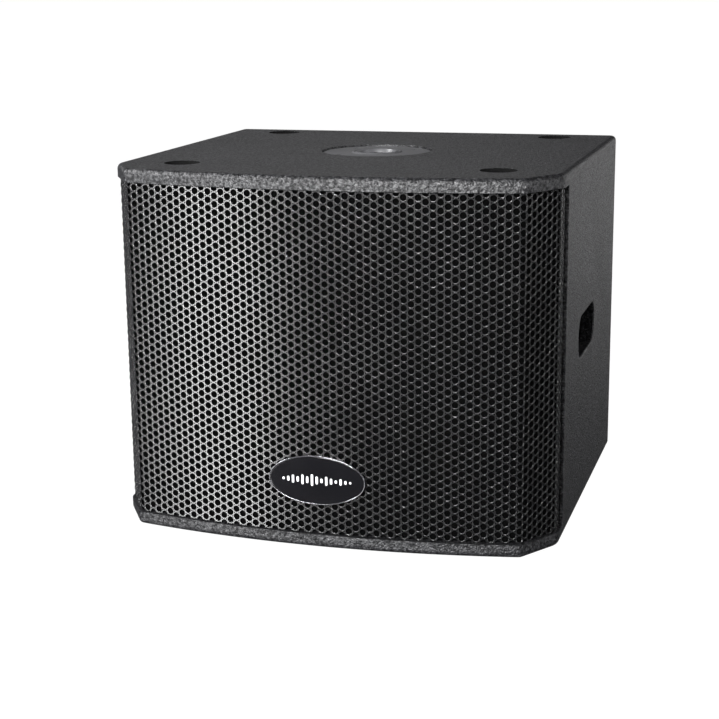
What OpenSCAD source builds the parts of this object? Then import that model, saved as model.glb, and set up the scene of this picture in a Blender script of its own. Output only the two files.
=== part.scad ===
// Active bass loudspeaker: a painted wooden cabinet with a bowed steel grille,
// a 12 inch woofer on a baffle behind it, and an amplifier recessed in the back.
// +Z is up, the grille faces -Y, and the origin is on the floor under the middle.

/* [Cabinet] */
// Width of the cabinet
cab_w = 506; // [500:2:540]
// Depth from the middle of the bow to the back edge
cab_d = 478; // [470:2:520]
// Height of the cabinet without its feet
cab_h = 408; // [400:2:440]
// Thickness of the boards
board = 15; // [12:1:16]
// How far the bow of the front stands out
bow_rise = 23; // [15:1:28]
// Width of the angled facet beside the bow
facet_w = 31; // [26:1:36]
// Depth of the angled facet beside the bow
facet_d = 49; // [42:1:54]
// How far the back panel lies inside the back edge
back_recess = 30; // [28:1:36]

/* [Grille and badge] */
// Thickness of the steel sheet
grille_t = 1.5; // [1:0.1:2]
// How far the grille lies inside the panels' outline
grille_inset = 3; // [2:0.5:4]
// Gap between the grille's return and the side panel
grille_gap = 7; // [5:0.5:9]
// Thickness of the foam behind the grille
foam_t = 6; // [4:0.5:7]
// Width of the oval badge
badge_w = 110; // [90:2:120]
// Height of the oval badge
badge_h = 56; // [46:2:60]
// Height of the badge's middle above the cabinet's underside
badge_z = 77; // [60:1:90]

/* [Hand slots] */
// Length of the hand slot
slot_l = 118; // [110:1:124]
// Height of the hand slot
slot_h = 48; // [42:1:52]
// Depth of the cup behind the slot
cup_depth = 48; // [40:1:52]

/* [Pole mount] */
// Diameter of the plate in the top
plate_d = 128; // [118:1:136]
// Diameter of the socket's bore, for a 35 mm pole
socket_d = 36; // [35.5:0.1:36.5]
// Depth of the socket below its mouth
socket_depth = 96; // [80:1:100]
// How far the pole and the hand slots lie behind the middle
pole_y = 12; // [8:1:16]

/* [Feet and stacking] */
// Height of the rubber feet
foot_h = 10; // [8:1:14]
// Radius of a foot where it meets the cabinet
foot_r = 18; // [16:0.5:19]
// Radius of the stacking recesses
recess_r = 20; // [19.5:0.5:22]
// Depth of the stacking recesses
recess_depth = 4; // [3:0.5:5]
// Sideways distance from the middle to the feet
foot_x = 180; // [170:1:190]
// Front feet, ahead of the middle
foot_front = 152; // [145:1:158]
// Rear feet, behind the middle
foot_rear = 198; // [185:1:204]

/* [Woofer and ports] */
// Radius of the hole in the baffle
cutout_r = 142; // [141.5:0.1:143]
// Outer radius of the woofer's rim
rim_r = 156; // [155:0.5:158]
// Travel of the cone each way
travel = 5; // [3:0.5:5]
// Inner radius of the port tubes
port_r = 34; // [28:0.5:34]
// Length of the port tubes
port_l = 176; // [120:1:190]

/* [Amplifier] */
// Width of the amplifier's panel
amp_w = 300; // [290:2:320]
// Height of the amplifier's panel
amp_h = 330; // [320:2:340]
// Depth of the tub behind it
tub_depth = 85; // [80:1:88]

/* [Hidden] */
$fn = 64;
round_fn = 128;
wide_fn = 256;

half_w = cab_w / 2;
front_y = -cab_d / 2;
back_y = cab_d / 2;
under_z = foot_h;
top_z = under_z + cab_h;
floor_z = under_z + board;
ceil_z = top_z - board;
mid_z = (under_z + top_z) / 2;
inner_x = half_w - board;

// The bow is one arc through the facets' front corners.
bow_half = half_w - facet_w;
bow_r = (bow_half * bow_half + bow_rise * bow_rise) / (2 * bow_rise);
bow_y = front_y + bow_r;
facet_l = norm([facet_w, facet_d]);
facet_end_y = front_y + bow_rise + facet_d;

return_l = 22;
side_y = facet_end_y + return_l + grille_gap;
baffle_x = half_w - 7;
baffle_y = side_y - board;
tab_h = 9;
tab_z = [floor_z + 23, ceil_z - 23];
tab_screw_y = side_y - 3.3;

cup_wall = 3;
cup_y = slot_l / 2 + 3;
cup_low = slot_h / 2 + 2;
cup_high = slot_h / 2 + 18;
slot_round = 20;

plate_t = 3;
plate_sink = 2;
plate_z = top_z - plate_sink - plate_t;
socket_wall = 5;
mouth_r = 22.5;
mouth_z = plate_z - 8;
socket_end_z = top_z - socket_depth;
collar_r = 29;
pole_screw = 36;

woofer_z = mid_z;
screw_circle = 151;
port_x = 185;
port_z = under_z + 65;
port_wall = 3;

amp_t = 3;
back_face_y = back_y - back_recess;
amp_y = back_face_y + amp_t;
tub_half_w = amp_w / 2 - 18;
tub_half_h = amp_h / 2 - 16;
tub_wall = 1.5;
// Places on the amplifier's panel, across and up from its middle
input_at = [[105, 30], [65, 30]];
output_at = [[105, -25], [65, -25]];
level_at = [12, 30];
crossover_at = [12, -25];
phase_at = [-40, 30];
lens_at = [for (k = [-1:1]) [-95 + 14 * k, 30]];
inlet_at = [-70, -100];
inlet_w = 28;
inlet_h = 64;
rocker_drop = 12;
rocker_tilt = 8;
fuse_at = [0, -100];

// ---- shared shapes ----

// Corner of the bow and the facet, moved in by i
function bow_corner(i) =
    let (d = [facet_w, facet_d] / facet_l, n = [-facet_d, facet_w] / facet_l,
         m = [bow_half, front_y + bow_rise - bow_y] + n * i, r = bow_r - i,
         t = -(m * d) - sqrt(pow(m * d, 2) - m * m + r * r))
    m + d * t + [0, bow_y];

// Corner of the facet and the side, moved in by i
function side_corner(i) =
    [half_w - i, facet_end_y + i * (facet_l - facet_d) / facet_w];

// Solid with the cabinet's outline moved in by i, with a true arc in front
module outline_block(i, z, h) {
    a = bow_corner(i);
    b = side_corner(i);
    ahead = a + (a - b) * 1.5;
    right = [ahead, b, [half_w - i, back_y]];
    left = [for (k = [2:-1:0]) [-right[k].x, right[k].y]];
    intersection() {
        translate([0, 0, z]) linear_extrude(h) polygon(concat(right, left));
        translate([0, bow_y, z - 1]) cylinder(r = bow_r - i, h = h + 2, $fn = wide_fn);
    }
}

// Sheet that follows the front between two insets and ends at end_y
module front_sheet(i, t, z, h, end_y) {
    difference() {
        outline_block(i, z, h);
        outline_block(i + t, z - 1, h + 2);
        translate([-cab_w, end_y, z - 1]) cube([2 * cab_w, cab_d * 2, h + 2]);
    }
}

// Plate in XZ with round corners, w wide and h high, from y = 0 to y = d
module round_plate(w, h, r, d) {
    rotate([-90, 0, 0]) {
        translate([-w / 2 + r, -h / 2, 0]) cube([w - 2 * r, h, d]);
        translate([-w / 2, -h / 2 + r, 0]) cube([w, h - 2 * r, d]);
        for (x = [-1, 1], z = [-1, 1])
            translate([x * (w / 2 - r), z * (h / 2 - r), 0]) cylinder(r = r, h = d);
    }
}

// Screw along -Z with its head from z = 0 up
module screw(head_r, head_h, shank_r, shank_l) {
    cylinder(r = head_r, h = head_h);
    translate([0, 0, -shank_l]) cylinder(r = shank_r, h = shank_l + 0.01);
}

// Countersunk screw along -Z with its head's top at z = 0
module flush_screw(head_r, shank_r, length) {
    translate([0, 0, -head_r + shank_r]) cylinder(r1 = shank_r, r2 = head_r, h = head_r - shank_r);
    translate([0, 0, -length]) cylinder(r = shank_r, h = length - head_r + shank_r + 0.01);
}

module mirrored() {
    children();
    mirror([1, 0, 0]) children();
}

module ring(r1, r2, z, h, fn = round_fn) {
    translate([0, 0, z]) difference() {
        cylinder(r = r2, h = h, $fn = fn);
        translate([0, 0, -1]) cylinder(r = r1, h = h + 2, $fn = fn);
    }
}

function oval(a, b) = [for (k = [0:95]) [a * cos(k * 3.75), b * sin(k * 3.75)]];

foot_places = [[-foot_x, -foot_front], [foot_x, -foot_front], [-foot_x, foot_rear], [foot_x, foot_rear]];
pole_screw_places = [for (x = [-1, 1], y = [-1, 1]) [x * pole_screw, pole_y + y * pole_screw]];

// ---- cabinet ----

module top_panel() color("#2b2b2d") difference() {
    outline_block(0, ceil_z, board);
    for (p = foot_places)
        translate([p.x, p.y, top_z - recess_depth]) cylinder(r = recess_r, h = recess_depth + 1);
    translate([0, pole_y, plate_z]) cylinder(r = plate_d / 2 + 1, h = board, $fn = round_fn);
    translate([0, pole_y, ceil_z - 1]) cylinder(r = mouth_r + 2.5, h = board + 2);
    for (p = pole_screw_places) translate([p.x, p.y, ceil_z - 1]) cylinder(r = 2.1, h = board + 2);
}

module bottom_panel() color("#2b2b2d") difference() {
    outline_block(0, under_z, board);
    for (p = foot_places) translate([p.x, p.y, under_z - 1]) cylinder(r = 2.6, h = board + 2);
}

module side_panel() {
    difference() {
        translate([inner_x, side_y, floor_z]) cube([board, back_y - side_y, ceil_z - floor_z]);
        translate([inner_x - 1, pole_y, mid_z]) rotate([0, 0, -90])
            round_plate(slot_l, slot_h, slot_round, board + 2);
        for (p = cup_screw_places)
            translate([inner_x - 1, p.x, p.y]) rotate([0, 90, 0]) cylinder(r = 1.85, h = 11);
    }
}
module right_side_panel() color("#2b2b2d") side_panel();
module left_side_panel() color("#2b2b2d") mirror([1, 0, 0]) side_panel();

module back_panel() color("#2b2b2d") difference() {
    translate([-inner_x, back_face_y - board, floor_z])
        cube([2 * inner_x, board, ceil_z - floor_z]);
    translate([-tub_half_w - 2, back_face_y - board - 1, mid_z - tub_half_h - 2])
        cube([2 * tub_half_w + 4, board + 2, 2 * tub_half_h + 4]);
    for (p = amp_screw_places) translate([p.x, back_face_y + 1, p.y]) rotate([90, 0, 0])
        cylinder(r = 2.1, h = board + 2);
}

module baffle() color("#1d1d1f") difference() {
    translate([-baffle_x, baffle_y, floor_z]) cube([2 * baffle_x, board, ceil_z - floor_z]);
    on_woofer() {
        translate([0, 0, -board - 1]) cylinder(r = cutout_r, h = board + 2, $fn = round_fn);
        woofer_screw_places() translate([0, 0, -board - 1]) cylinder(r = 2.6, h = board + 2);
    }
    mirrored() on_port() translate([0, 0, -board - 1])
        cylinder(r = port_r + port_wall + 0.1, h = board + 2);
    mirrored() for (z = tab_z) translate([baffle_x + 1, tab_screw_y, z]) rotate([0, -90, 0])
        cylinder(r = 1.6, h = 13);
}

// Frame across the inside, with one wide window
brace_y = 84;
brace_t = 12;
window_w = 360;
window_h = 270;
module window_brace() color("#b89a6a") difference() {
    translate([-inner_x, brace_y, floor_z]) cube([2 * inner_x, brace_t, ceil_z - floor_z]);
    translate([0, brace_y - 1, mid_z]) round_plate(window_w, window_h, 30, brace_t + 2);
}

module grille_battens() color("#1d1d1f") mirrored()
    translate([half_w - 27, baffle_y - 12, floor_z]) cube([14, 12, ceil_z - floor_z]);

// Pads on the floor and the ceiling, either side of the brace
wool_t = 12;
module damping_wool() color("#c9c6bd") difference() {
    for (z = [floor_z, ceil_z - wool_t]) {
        translate([-inner_x + 12, side_y + 8, z]) cube([2 * inner_x - 24, brace_y - side_y - 10, wool_t]);
        translate([-inner_x + 12, brace_y + brace_t + 2, z])
            cube([2 * inner_x - 24, back_face_y - board - brace_y - brace_t - 4, wool_t]);
    }
    translate([0, pole_y, ceil_z - wool_t - 1]) cylinder(r = 62, h = wool_t + 2);
}

// ---- grille and badge ----

grille_z = floor_z + 1;
grille_h = ceil_z - floor_z - 2;

module grille() color("#3a3b3d") {
    difference() {
        front_sheet(grille_inset, grille_t, grille_z, grille_h, facet_end_y + return_l);
        on_badge(front_y) badge_pegs(peg_r + 0.1, 12);
    }
    // Tabs stepped in through the gap to the baffle's edge
    mirrored() for (z = tab_z) difference() {
        union() {
            translate([baffle_x, facet_end_y + return_l - 0.5, z - tab_h / 2])
                cube([half_w - grille_inset - baffle_x, 1.5, tab_h]);
            translate([baffle_x, facet_end_y + return_l, z - tab_h / 2])
                cube([grille_t, grille_gap - 0.5, tab_h]);
        }
        translate([baffle_x - 1, tab_screw_y, z]) rotate([0, 90, 0]) cylinder(r = 1.7, h = 6);
    }
}

module grille_foam() color("#151515")
    front_sheet(grille_inset + grille_t + 0.3, foam_t, grille_z + 1, grille_h - 2, facet_end_y - 4);

module grille_screws() color("#101010") mirrored() for (z = tab_z)
    translate([baffle_x + grille_t, tab_screw_y, z]) rotate([0, 90, 0]) screw(2.4, 1.6, 1.5, 12);

// The badge is flat, and stands on two pegs that pass through the sheet.
badge_front_y = front_y + 0.4;
badge_back_y = front_y + grille_inset - 0.02;
rim_wide = 1.75;
peg_x = 38;
peg_r = 2;
module on_badge(y) translate([0, y, under_z + badge_z]) rotate([-90, 0, 0]) children();
module badge_pegs(r, depth) for (x = [-peg_x, peg_x]) translate([x, 0, 0]) cylinder(r = r, h = depth);

module badge_plate() color("#08080a") {
    on_badge(badge_front_y + 0.5) linear_extrude(badge_back_y - badge_front_y - 0.5)
        polygon(oval(badge_w / 2 - rim_wide - 0.05, badge_h / 2 - rim_wide - 0.05));
    on_badge(badge_back_y - 0.01) badge_pegs(peg_r, grille_t + 0.8);
}
module badge_rim() color("#d8dade") on_badge(badge_front_y)
    linear_extrude(badge_back_y - badge_front_y) difference() {
        polygon(oval(badge_w / 2, badge_h / 2));
        polygon(oval(badge_w / 2 - rim_wide, badge_h / 2 - rim_wide));
    }

// ---- pole mount ----

module pole_socket() color("#1a1a1c") translate([0, pole_y, 0]) difference() {
    union() {
        translate([0, 0, plate_z]) cylinder(r = plate_d / 2, h = plate_t, $fn = round_fn);
        translate([0, 0, plate_z]) cylinder(r = collar_r, h = plate_t + 1.2);
        translate([0, 0, socket_end_z - 4])
            cylinder(r = socket_d / 2 + socket_wall, h = plate_z - socket_end_z + 5);
    }
    translate([0, 0, socket_end_z]) cylinder(r = socket_d / 2, h = 2 * socket_depth);
    translate([0, 0, mouth_z])
        cylinder(r1 = socket_d / 2, r2 = mouth_r, h = plate_z + plate_t + 1.2 - mouth_z + 0.001);
    for (x = [-1, 1], y = [-1, 1]) translate([x * pole_screw, y * pole_screw, plate_z - 1]) {
        cylinder(r = 2.2, h = plate_t + 2);
        translate([0, 0, 1.6]) cylinder(r1 = 2.2, r2 = 4.7, h = 2.5);
    }
}

module pole_screws() color("#101010") for (p = pole_screw_places)
    translate([p.x, p.y, plate_z + plate_t - 0.1]) flush_screw(4.3, 2, 18);

// ---- hand slots ----

cup_screw_places = [for (y = [-1, 1], z = [-1, 1])
    [pole_y + y * (cup_y - 12), mid_z + (z > 0 ? cup_high + 9 : -cup_low - 9)]];

module handle_cup() {
    low = mid_z - cup_low;
    high = mid_z + cup_high;
    difference() {
        union() {
            translate([inner_x - cup_depth - cup_wall, pole_y - cup_y - cup_wall, low - cup_wall])
                cube([cup_depth + cup_wall, 2 * (cup_y + cup_wall), high - low + 2 * cup_wall]);
            translate([inner_x - cup_wall, pole_y - cup_y - cup_wall, low - 16])
                cube([cup_wall, 2 * (cup_y + cup_wall), high - low + 32]);
        }
        translate([inner_x - cup_depth, pole_y - cup_y, low]) cube([cup_depth + 1, 2 * cup_y, high - low]);
        for (p = cup_screw_places) translate([inner_x - cup_wall - 1, p.x, p.y]) rotate([0, 90, 0])
            cylinder(r = 1.9, h = cup_wall + 2);
    }
}
module right_handle_cup() color("#141416") handle_cup();
module left_handle_cup() color("#141416") mirror([1, 0, 0]) handle_cup();

module handle_screws() color("#8c8f94") mirrored() for (p = cup_screw_places)
    translate([inner_x - cup_wall, p.x, p.y]) rotate([0, -90, 0]) screw(3.6, 2.4, 1.75, 12);

// ---- feet ----

module foot(k) color("#1c1c1c") translate([foot_places[k].x, foot_places[k].y, 0]) difference() {
    cylinder(r1 = foot_r - 2, r2 = foot_r, h = foot_h);
    translate([0, 0, -1]) cylinder(r = 7.5, h = 5);
    translate([0, 0, -1]) cylinder(r = 2.65, h = foot_h + 2);
}
module foot_front_left() foot(0);
module foot_front_right() foot(1);
module foot_rear_left() foot(2);
module foot_rear_right() foot(3);

module foot_screws() color("#8c8f94") for (p = foot_places) translate([p.x, p.y, 4]) rotate([180, 0, 0]) {
    cylinder(r = 6.5, h = 1);
    translate([0, 0, 0.9]) screw(4.2, 1.9, 2.5, 19);
}

// ---- ports ----

module on_port() translate([port_x, baffle_y, port_z]) rotate([90, 0, 0]) children();
module port() on_port() {
    ring(port_r, port_r + port_wall, 3 - port_l, port_l, $fn);
    ring(port_r, port_r + port_wall + 2, 0, 3, $fn);
}
module right_port() color("#161618") port();
module left_port() color("#161618") mirror([1, 0, 0]) port();

// ---- woofer, drawn about its own axis with +Z out of the front ----

module on_woofer() translate([0, baffle_y, woofer_z]) rotate([90, 0, 0]) children();
module woofer_screw_places() for (k = [0:7]) rotate(k * 45 + 22.5) translate([screw_circle, 0, 0]) children();

seat_z = -84;
ledge_z = -64;
rim_t = 4;
gap_r = 33.8;
former_r = 31.6;
cone_low = [former_r + 0.7, -42];
cone_high = [112, 5];

module woofer_basket() color("#26272a") on_woofer() difference() {
    rotate_extrude($fn = round_fn) polygon([[137, rim_t], [rim_r, rim_t], [rim_r, 0], [cutout_r - 1, 0],
        [cutout_r - 1, -4], [91, ledge_z], [82, ledge_z - 10], [82, seat_z], [50, seat_z], [50, seat_z + 4],
        [78, seat_z + 4], [78, ledge_z], [87, ledge_z], [137, -3]]);
    for (k = [0:7]) rotate(k * 45) translate([0, 0, ledge_z + 6]) linear_extrude(50)
        polygon([[88, -24], [88, 24], [136, 42], [136, -42]]);
    woofer_screw_places() translate([0, 0, -1]) cylinder(r = 2.6, h = rim_t + 2);
}

module woofer_gasket() color("#111111") on_woofer() difference() {
    ring(146.2, rim_r, rim_t, 4);
    woofer_screw_places() translate([0, 0, rim_t - 1]) cylinder(r = 2.6, h = 6);
}

roll_r = 9;
roll_at = 129;
module woofer_surround() color("#131313") on_woofer() {
    rotate_extrude($fn = round_fn) difference() {
        union() {
            translate([roll_at, 6]) circle(r = roll_r);
            translate([cone_high.x, 6]) square([roll_at - cone_high.x, 1]);
            translate([roll_at, 6]) square([146 - roll_at, 1]);
        }
        translate([roll_at, 6]) circle(r = roll_r - 1.2);
        translate([roll_at - 20, -10]) square([40, 16]);
    }
    ring(138.5, 146, rim_t, 2);
}

module woofer_cone() color("#1b1b1c") on_woofer() rotate_extrude($fn = round_fn)
    polygon([cone_low, [cone_low.x + 1.8, cone_low.y], cone_high, [119, 5], [119, 6], [111.4, 6],
        [cone_low.x, cone_low.y + 1.2]]);

cap_r = 60.4;
cap_z = -80;
cap_edge_z = -35.6;
module dust_cap() color("#19191a") on_woofer() difference() {
    translate([0, 0, cap_z]) sphere(r = cap_r, $fn = round_fn);
    translate([0, 0, cap_z]) sphere(r = cap_r - 1, $fn = round_fn);
    translate([-70, -70, cap_z - 70]) cube([140, 140, cap_edge_z - cap_z + 70]);
}

module voice_coil() color("#b4703a") on_woofer() {
    ring(former_r, former_r + 0.6, -103.5, 63.5);
    ring(former_r + 0.6, former_r + 1.6, -94, 14);
}

// Corrugated disc, flat where it is glued to the ledge
spider_steps = 20;
function spider_point(k, lift) =
    [33 + k * 2.35, ledge_z + lift + (k < spider_steps - 1 ? 1.5 * sin(k * 90) : 0)];
module woofer_spider() color("#c4a35a") on_woofer() rotate_extrude($fn = round_fn) polygon(concat(
    [for (k = [0:spider_steps]) spider_point(k, 1)], [[86.5, ledge_z + 1], [86.5, ledge_z + 0.1]],
    [for (k = [spider_steps:-1:0]) spider_point(k, 0.1)]));

module woofer_top_plate() color("#6f7378") on_woofer() ring(gap_r, 72, seat_z - 8, 8);
module woofer_magnet() color("#3b3c3e") on_woofer() ring(42, 84, seat_z - 26, 18);
module woofer_yoke() color("#6f7378") on_woofer() difference() {
    union() {
        translate([0, 0, seat_z - 36]) cylinder(r = 72, h = 10, $fn = round_fn);
        translate([0, 0, seat_z - 27]) cylinder(r = former_r - 0.8, h = 27);
    }
    translate([0, 0, seat_z - 37]) cylinder(r = 9, h = 40);
}

module woofer_terminals() color("#b9a15a") on_woofer() translate([0, -88.5, seat_z]) {
    translate([-12, -6, 0]) cube([24, 12, 4]);
    for (x = [-8, 8]) translate([x - 3, -0.4, -10]) cube([6, 0.8, 10.01]);
}

module woofer_screws() color("#0f0f10") on_woofer() woofer_screw_places()
    translate([0, 0, rim_t + 4]) screw(4.6, 3, 2.5, 26);

// ---- speaker cable, held between the amplifier's tub and the woofer ----

cable_r = 3;
cable_points = [[0, 127, 120], [0, 112, 118], [0, 98, 112], [0, 84, 106], [0, 66, 100], [0, 46, 96],
    [0, 26, 94], [0, 6, 96], [0, -12, 101], [0, -26, 108], [0, -40, 116], [0, -54, 123]];
function cable_way(k) =
    let (n = len(cable_points) - 1, d = cable_points[min(k + 1, n)] - cable_points[max(k - 1, 0)])
    d / norm(d);
module speaker_cable() color("#202024") {
    n = len(cable_points);
    sides = 8;
    points = [for (k = [0:n - 1], s = [0:sides - 1])
        let (w = cable_way(k), u = [1, 0, 0], v = cross(w, u))
        cable_points[k] + cable_r * (cos(s * 45) * u + sin(s * 45) * v)];
    faces = concat([[for (s = [0:sides - 1]) s]], [[for (s = [sides - 1:-1:0]) (n - 1) * sides + s]],
        [for (k = [0:n - 2], s = [0:sides - 1]) let (a = k * sides, t = (s + 1) % sides)
            [a + s, a + sides + s, a + sides + t, a + t]]);
    polyhedron(points, faces);
}

// ---- amplifier, with pieces drawn with +Z out of its panel and +Y down ----

module on_amp(p) translate([p.x, amp_y, mid_z + p.y]) rotate([-90, 0, 0]) children();
amp_screw_places = [for (x = [-1, 0, 1], z = [-1, 1]) [x * (amp_w / 2 - 8), mid_z + z * (amp_h / 2 - 8)]];

// Holes through the panel, as deep as the sockets need
module amp_holes() {
    for (p = concat(input_at, output_at)) on_amp(p) translate([0, 0, -30]) cylinder(r = 11.8, h = 40);
    for (p = input_at) on_amp(p) translate([-4.6, -15, -30]) cube([9.2, 8, 40]);
    for (p = [level_at, crossover_at]) on_amp(p) translate([0, 0, -30]) cylinder(r = 3.05, h = 40);
    on_amp(phase_at) translate([-6, -2.5, -30]) cube([12, 5, 40]);
    for (p = lens_at) on_amp(p) translate([0, 0, -30]) cylinder(r = 2.6, h = 40);
    on_amp(inlet_at) translate([-inlet_w / 2 + 1, -inlet_h / 2 + 1, -30])
        cube([inlet_w - 2, inlet_h - 2, 40]);
    on_amp(fuse_at) translate([0, 0, -30]) cylinder(r = 7.3, h = 40);
}

module amp_panel() color("#1e1f21") difference() {
    translate([0, back_face_y, mid_z]) round_plate(amp_w, amp_h, 6, amp_t);
    intersection() {
        amp_holes();
        translate([0, back_face_y - 1, mid_z]) round_plate(amp_w, amp_h, 6, amp_t + 2);
    }
    for (p = amp_screw_places) translate([p.x, amp_y + 1, p.y]) rotate([90, 0, 0]) cylinder(r = 2.2, h = 6);
}

module amp_tub() color("#9da1a6") difference() {
    translate([-tub_half_w, back_face_y - tub_depth, mid_z - tub_half_h])
        cube([2 * tub_half_w, tub_depth, 2 * tub_half_h]);
    translate([-tub_half_w + tub_wall, back_face_y - tub_depth + tub_wall, mid_z - tub_half_h + tub_wall])
        cube([2 * (tub_half_w - tub_wall), tub_depth, 2 * (tub_half_h - tub_wall)]);
    translate([0, back_face_y - tub_depth - 1, cable_points[0].z]) rotate([-90, 0, 0])
        cylinder(r = cable_r + 0.5, h = tub_wall + 2);
}

fins = 15;
fin_pitch = 17;
module heatsink() color("#17181a") translate([0, amp_y, mid_z + 105]) {
    translate([-125, 0, -44]) cube([250, 4, 88]);
    for (k = [0:fins - 1]) translate([(k - (fins - 1) / 2) * fin_pitch - 1.5, 3.9, -44]) cube([3, 18.1, 88]);
}

module circuit_board() color("#1f5a3a") translate([-118, back_face_y - 34, mid_z - 55])
    cube([236, 1.6, 190]);

module transformer() color("#c98a35") translate([62, back_face_y - tub_depth + tub_wall, mid_z - 92])
    rotate([-90, 0, 0]) rotate_extrude($fn = round_fn) difference() {
        translate([16, 0.05]) square([32, 38]);
        translate([40, 40]) square([10, 10]);
    }

module capacitors() color("#22345c") for (x = [-100, -62], z = [-20, 20])
    translate([x, back_face_y - 34.05, mid_z + z]) rotate([90, 0, 0]) cylinder(r = 15, h = 42);

module amp_screws() color("#0f0f10") for (p = amp_screw_places)
    translate([p.x, amp_y, p.y]) rotate([-90, 0, 0]) screw(4, 2.4, 2, 16);

// Mains inlet with a rocker switch above it in one moulding
rocker_y = inlet_h / 2 - rocker_drop;
rocker_pivot = -1;
module mains_inlet() color("#0e0e10") on_amp(inlet_at) difference() {
    union() {
        translate([-inlet_w / 2 - 3, -inlet_h / 2 - 3, 0]) cube([inlet_w + 6, inlet_h + 6, 2.5]);
        translate([-inlet_w / 2 + 1.2, -inlet_h / 2 + 1.2, -24]) cube([inlet_w - 2.4, inlet_h - 2.4, 24.01]);
    }
    difference() {
        translate([-12, -2, -16]) cube([24, 28, 30]);
        for (x = [-7, 0, 7]) translate([x - 1, x == 0 ? 8 : 14, -17]) cube([2, 4, 14]);
    }
    translate([-6.4, -rocker_y - 9.8, -12]) cube([12.8, 19.6, 30]);
    translate([-7.6, -rocker_y, rocker_pivot]) rotate([0, 90, 0]) cylinder(r = 1.25, h = 15.2);
}

module power_rocker() color("#b3201c") on_amp(inlet_at) translate([0, -rocker_y, rocker_pivot])
    rotate([rocker_tilt, 0, 0]) {
        rotate([90, 0, 90]) translate([0, 0, -6]) linear_extrude(12)
            polygon([[-8.5, 4.4], [0, 3.2], [8.5, 4.4], [8.5, -1], [4, -4], [-4, -4], [-8.5, -1]]);
        translate([-7.4, 0, 0]) rotate([0, 90, 0]) cylinder(r = 1.2, h = 14.8);
    }

module fuse_cap() color("#0e0e10") on_amp(fuse_at) difference() {
    union() {
        translate([0, 0, 0.3]) cylinder(r = 9, h = 3);
        translate([0, 0, 3.2]) cylinder(r = 6.5, h = 7);
        translate([0, 0, -26]) cylinder(r = 7.2, h = 26.4);
    }
    translate([-5, -0.8, 8.6]) cube([10, 1.6, 3]);
}

module socket_shell() {
    translate([-13, -15.5, 0]) cube([26, 31, 2]);
    translate([0, 0, -25]) cylinder(r = 11.5, h = 25.01);
}

module input_sockets() color("#2a2b2e") for (p = input_at) on_amp(p) difference() {
    socket_shell();
    ring(7.6, 9.7, -12, 20, $fn);
    for (a = [90, 210, 330]) rotate(a) translate([3.6, 0, -10]) cylinder(r = 1.3, h = 20);
    translate([-4.4, -14.8, -6]) cube([8.8, 4.6, 20]);
}

module release_tab(p) color("#7d8084") on_amp(p) {
    translate([-4, -14.4, -2.6]) cube([8, 3.8, 6.6]);
}
module left_release_tab() release_tab(input_at[0]);
module right_release_tab() release_tab(input_at[1]);

module output_sockets() color("#2a2b2e") for (p = output_at) on_amp(p) {
    difference() {
        socket_shell();
        translate([0, 0, -14]) cylinder(r = 8.2, h = 20);
    }
    for (a = [90, 210, 330]) rotate(a) translate([3.6, 0, -14.01]) cylinder(r = 1.2, h = 12);
}

module potentiometers() color("#9b9ea3") for (p = [level_at, crossover_at]) on_amp(p) difference() {
    translate([0, 0, -14]) cylinder(r = 8.5, h = 11);
    translate([0, 0, -15]) cylinder(r = 3.05, h = 20);
}

module knob(p) color("#141416") on_amp(p) {
    difference() {
        translate([0, 0, 1]) cylinder(r1 = 11, r2 = 9.5, h = 14);
        translate([-0.6, -12, 14.2]) cube([1.2, 9, 2]);
    }
    translate([0, 0, -13.5]) cylinder(r = 3, h = 14.6);
}
module level_knob() knob(level_at);
module crossover_knob() knob(crossover_at);

phase_travel = 5;
module phase_switch_body() color("#2e2f32") on_amp(phase_at) difference() {
    translate([-9, -4.5, -11]) cube([18, 9, 8]);
    translate([-5.6, -2.3, -8]) cube([11.2, 4.6, 10]);
}
module phase_slider() color("#d8d8da") on_amp(phase_at)
    translate([-phase_travel / 2 - 2, -2, -7.8]) cube([4, 4, 10.3]);

module indicator_lenses() color("#9be08a") for (p = lens_at) on_amp(p) {
    translate([0, 0, -6]) cylinder(r = 2.5, h = 7);
    translate([0, 0, 1]) sphere(r = 2.5);
}

top_panel();
bottom_panel();
left_side_panel();
right_side_panel();
back_panel();
baffle();
window_brace();
grille_battens();
damping_wool();
grille();
grille_foam();
grille_screws();
badge_plate();
badge_rim();
pole_socket();
pole_screws();
left_handle_cup();
right_handle_cup();
handle_screws();
foot_front_left();
foot_front_right();
foot_rear_left();
foot_rear_right();
foot_screws();
left_port();
right_port();
woofer_basket();
woofer_gasket();
woofer_surround();
woofer_cone();
dust_cap();
voice_coil();
woofer_spider();
woofer_top_plate();
woofer_magnet();
woofer_yoke();
woofer_terminals();
woofer_screws();
speaker_cable();
amp_panel();
amp_tub();
heatsink();
circuit_board();
transformer();
capacitors();
amp_screws();
mains_inlet();
fuse_cap();
power_rocker();
input_sockets();
left_release_tab();
right_release_tab();
output_sockets();
potentiometers();
level_knob();
crossover_knob();
phase_switch_body();
phase_slider();
indicator_lenses();
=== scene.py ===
"""Looks of an active bass loudspeaker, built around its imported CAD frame.

Sizes inside the classes are in millimetres. A piece is scaled to metres when it is placed.
+Z is up, the grille faces -Y, and the origin is on the floor under the middle.
"""

import logging
import math
import random
from dataclasses import dataclass, field
from enum import Enum
from typing import Callable, Dict, Iterable, List, Sequence, Tuple

import bmesh
import bpy
import numpy as np
from mathutils import Matrix, Vector


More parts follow.
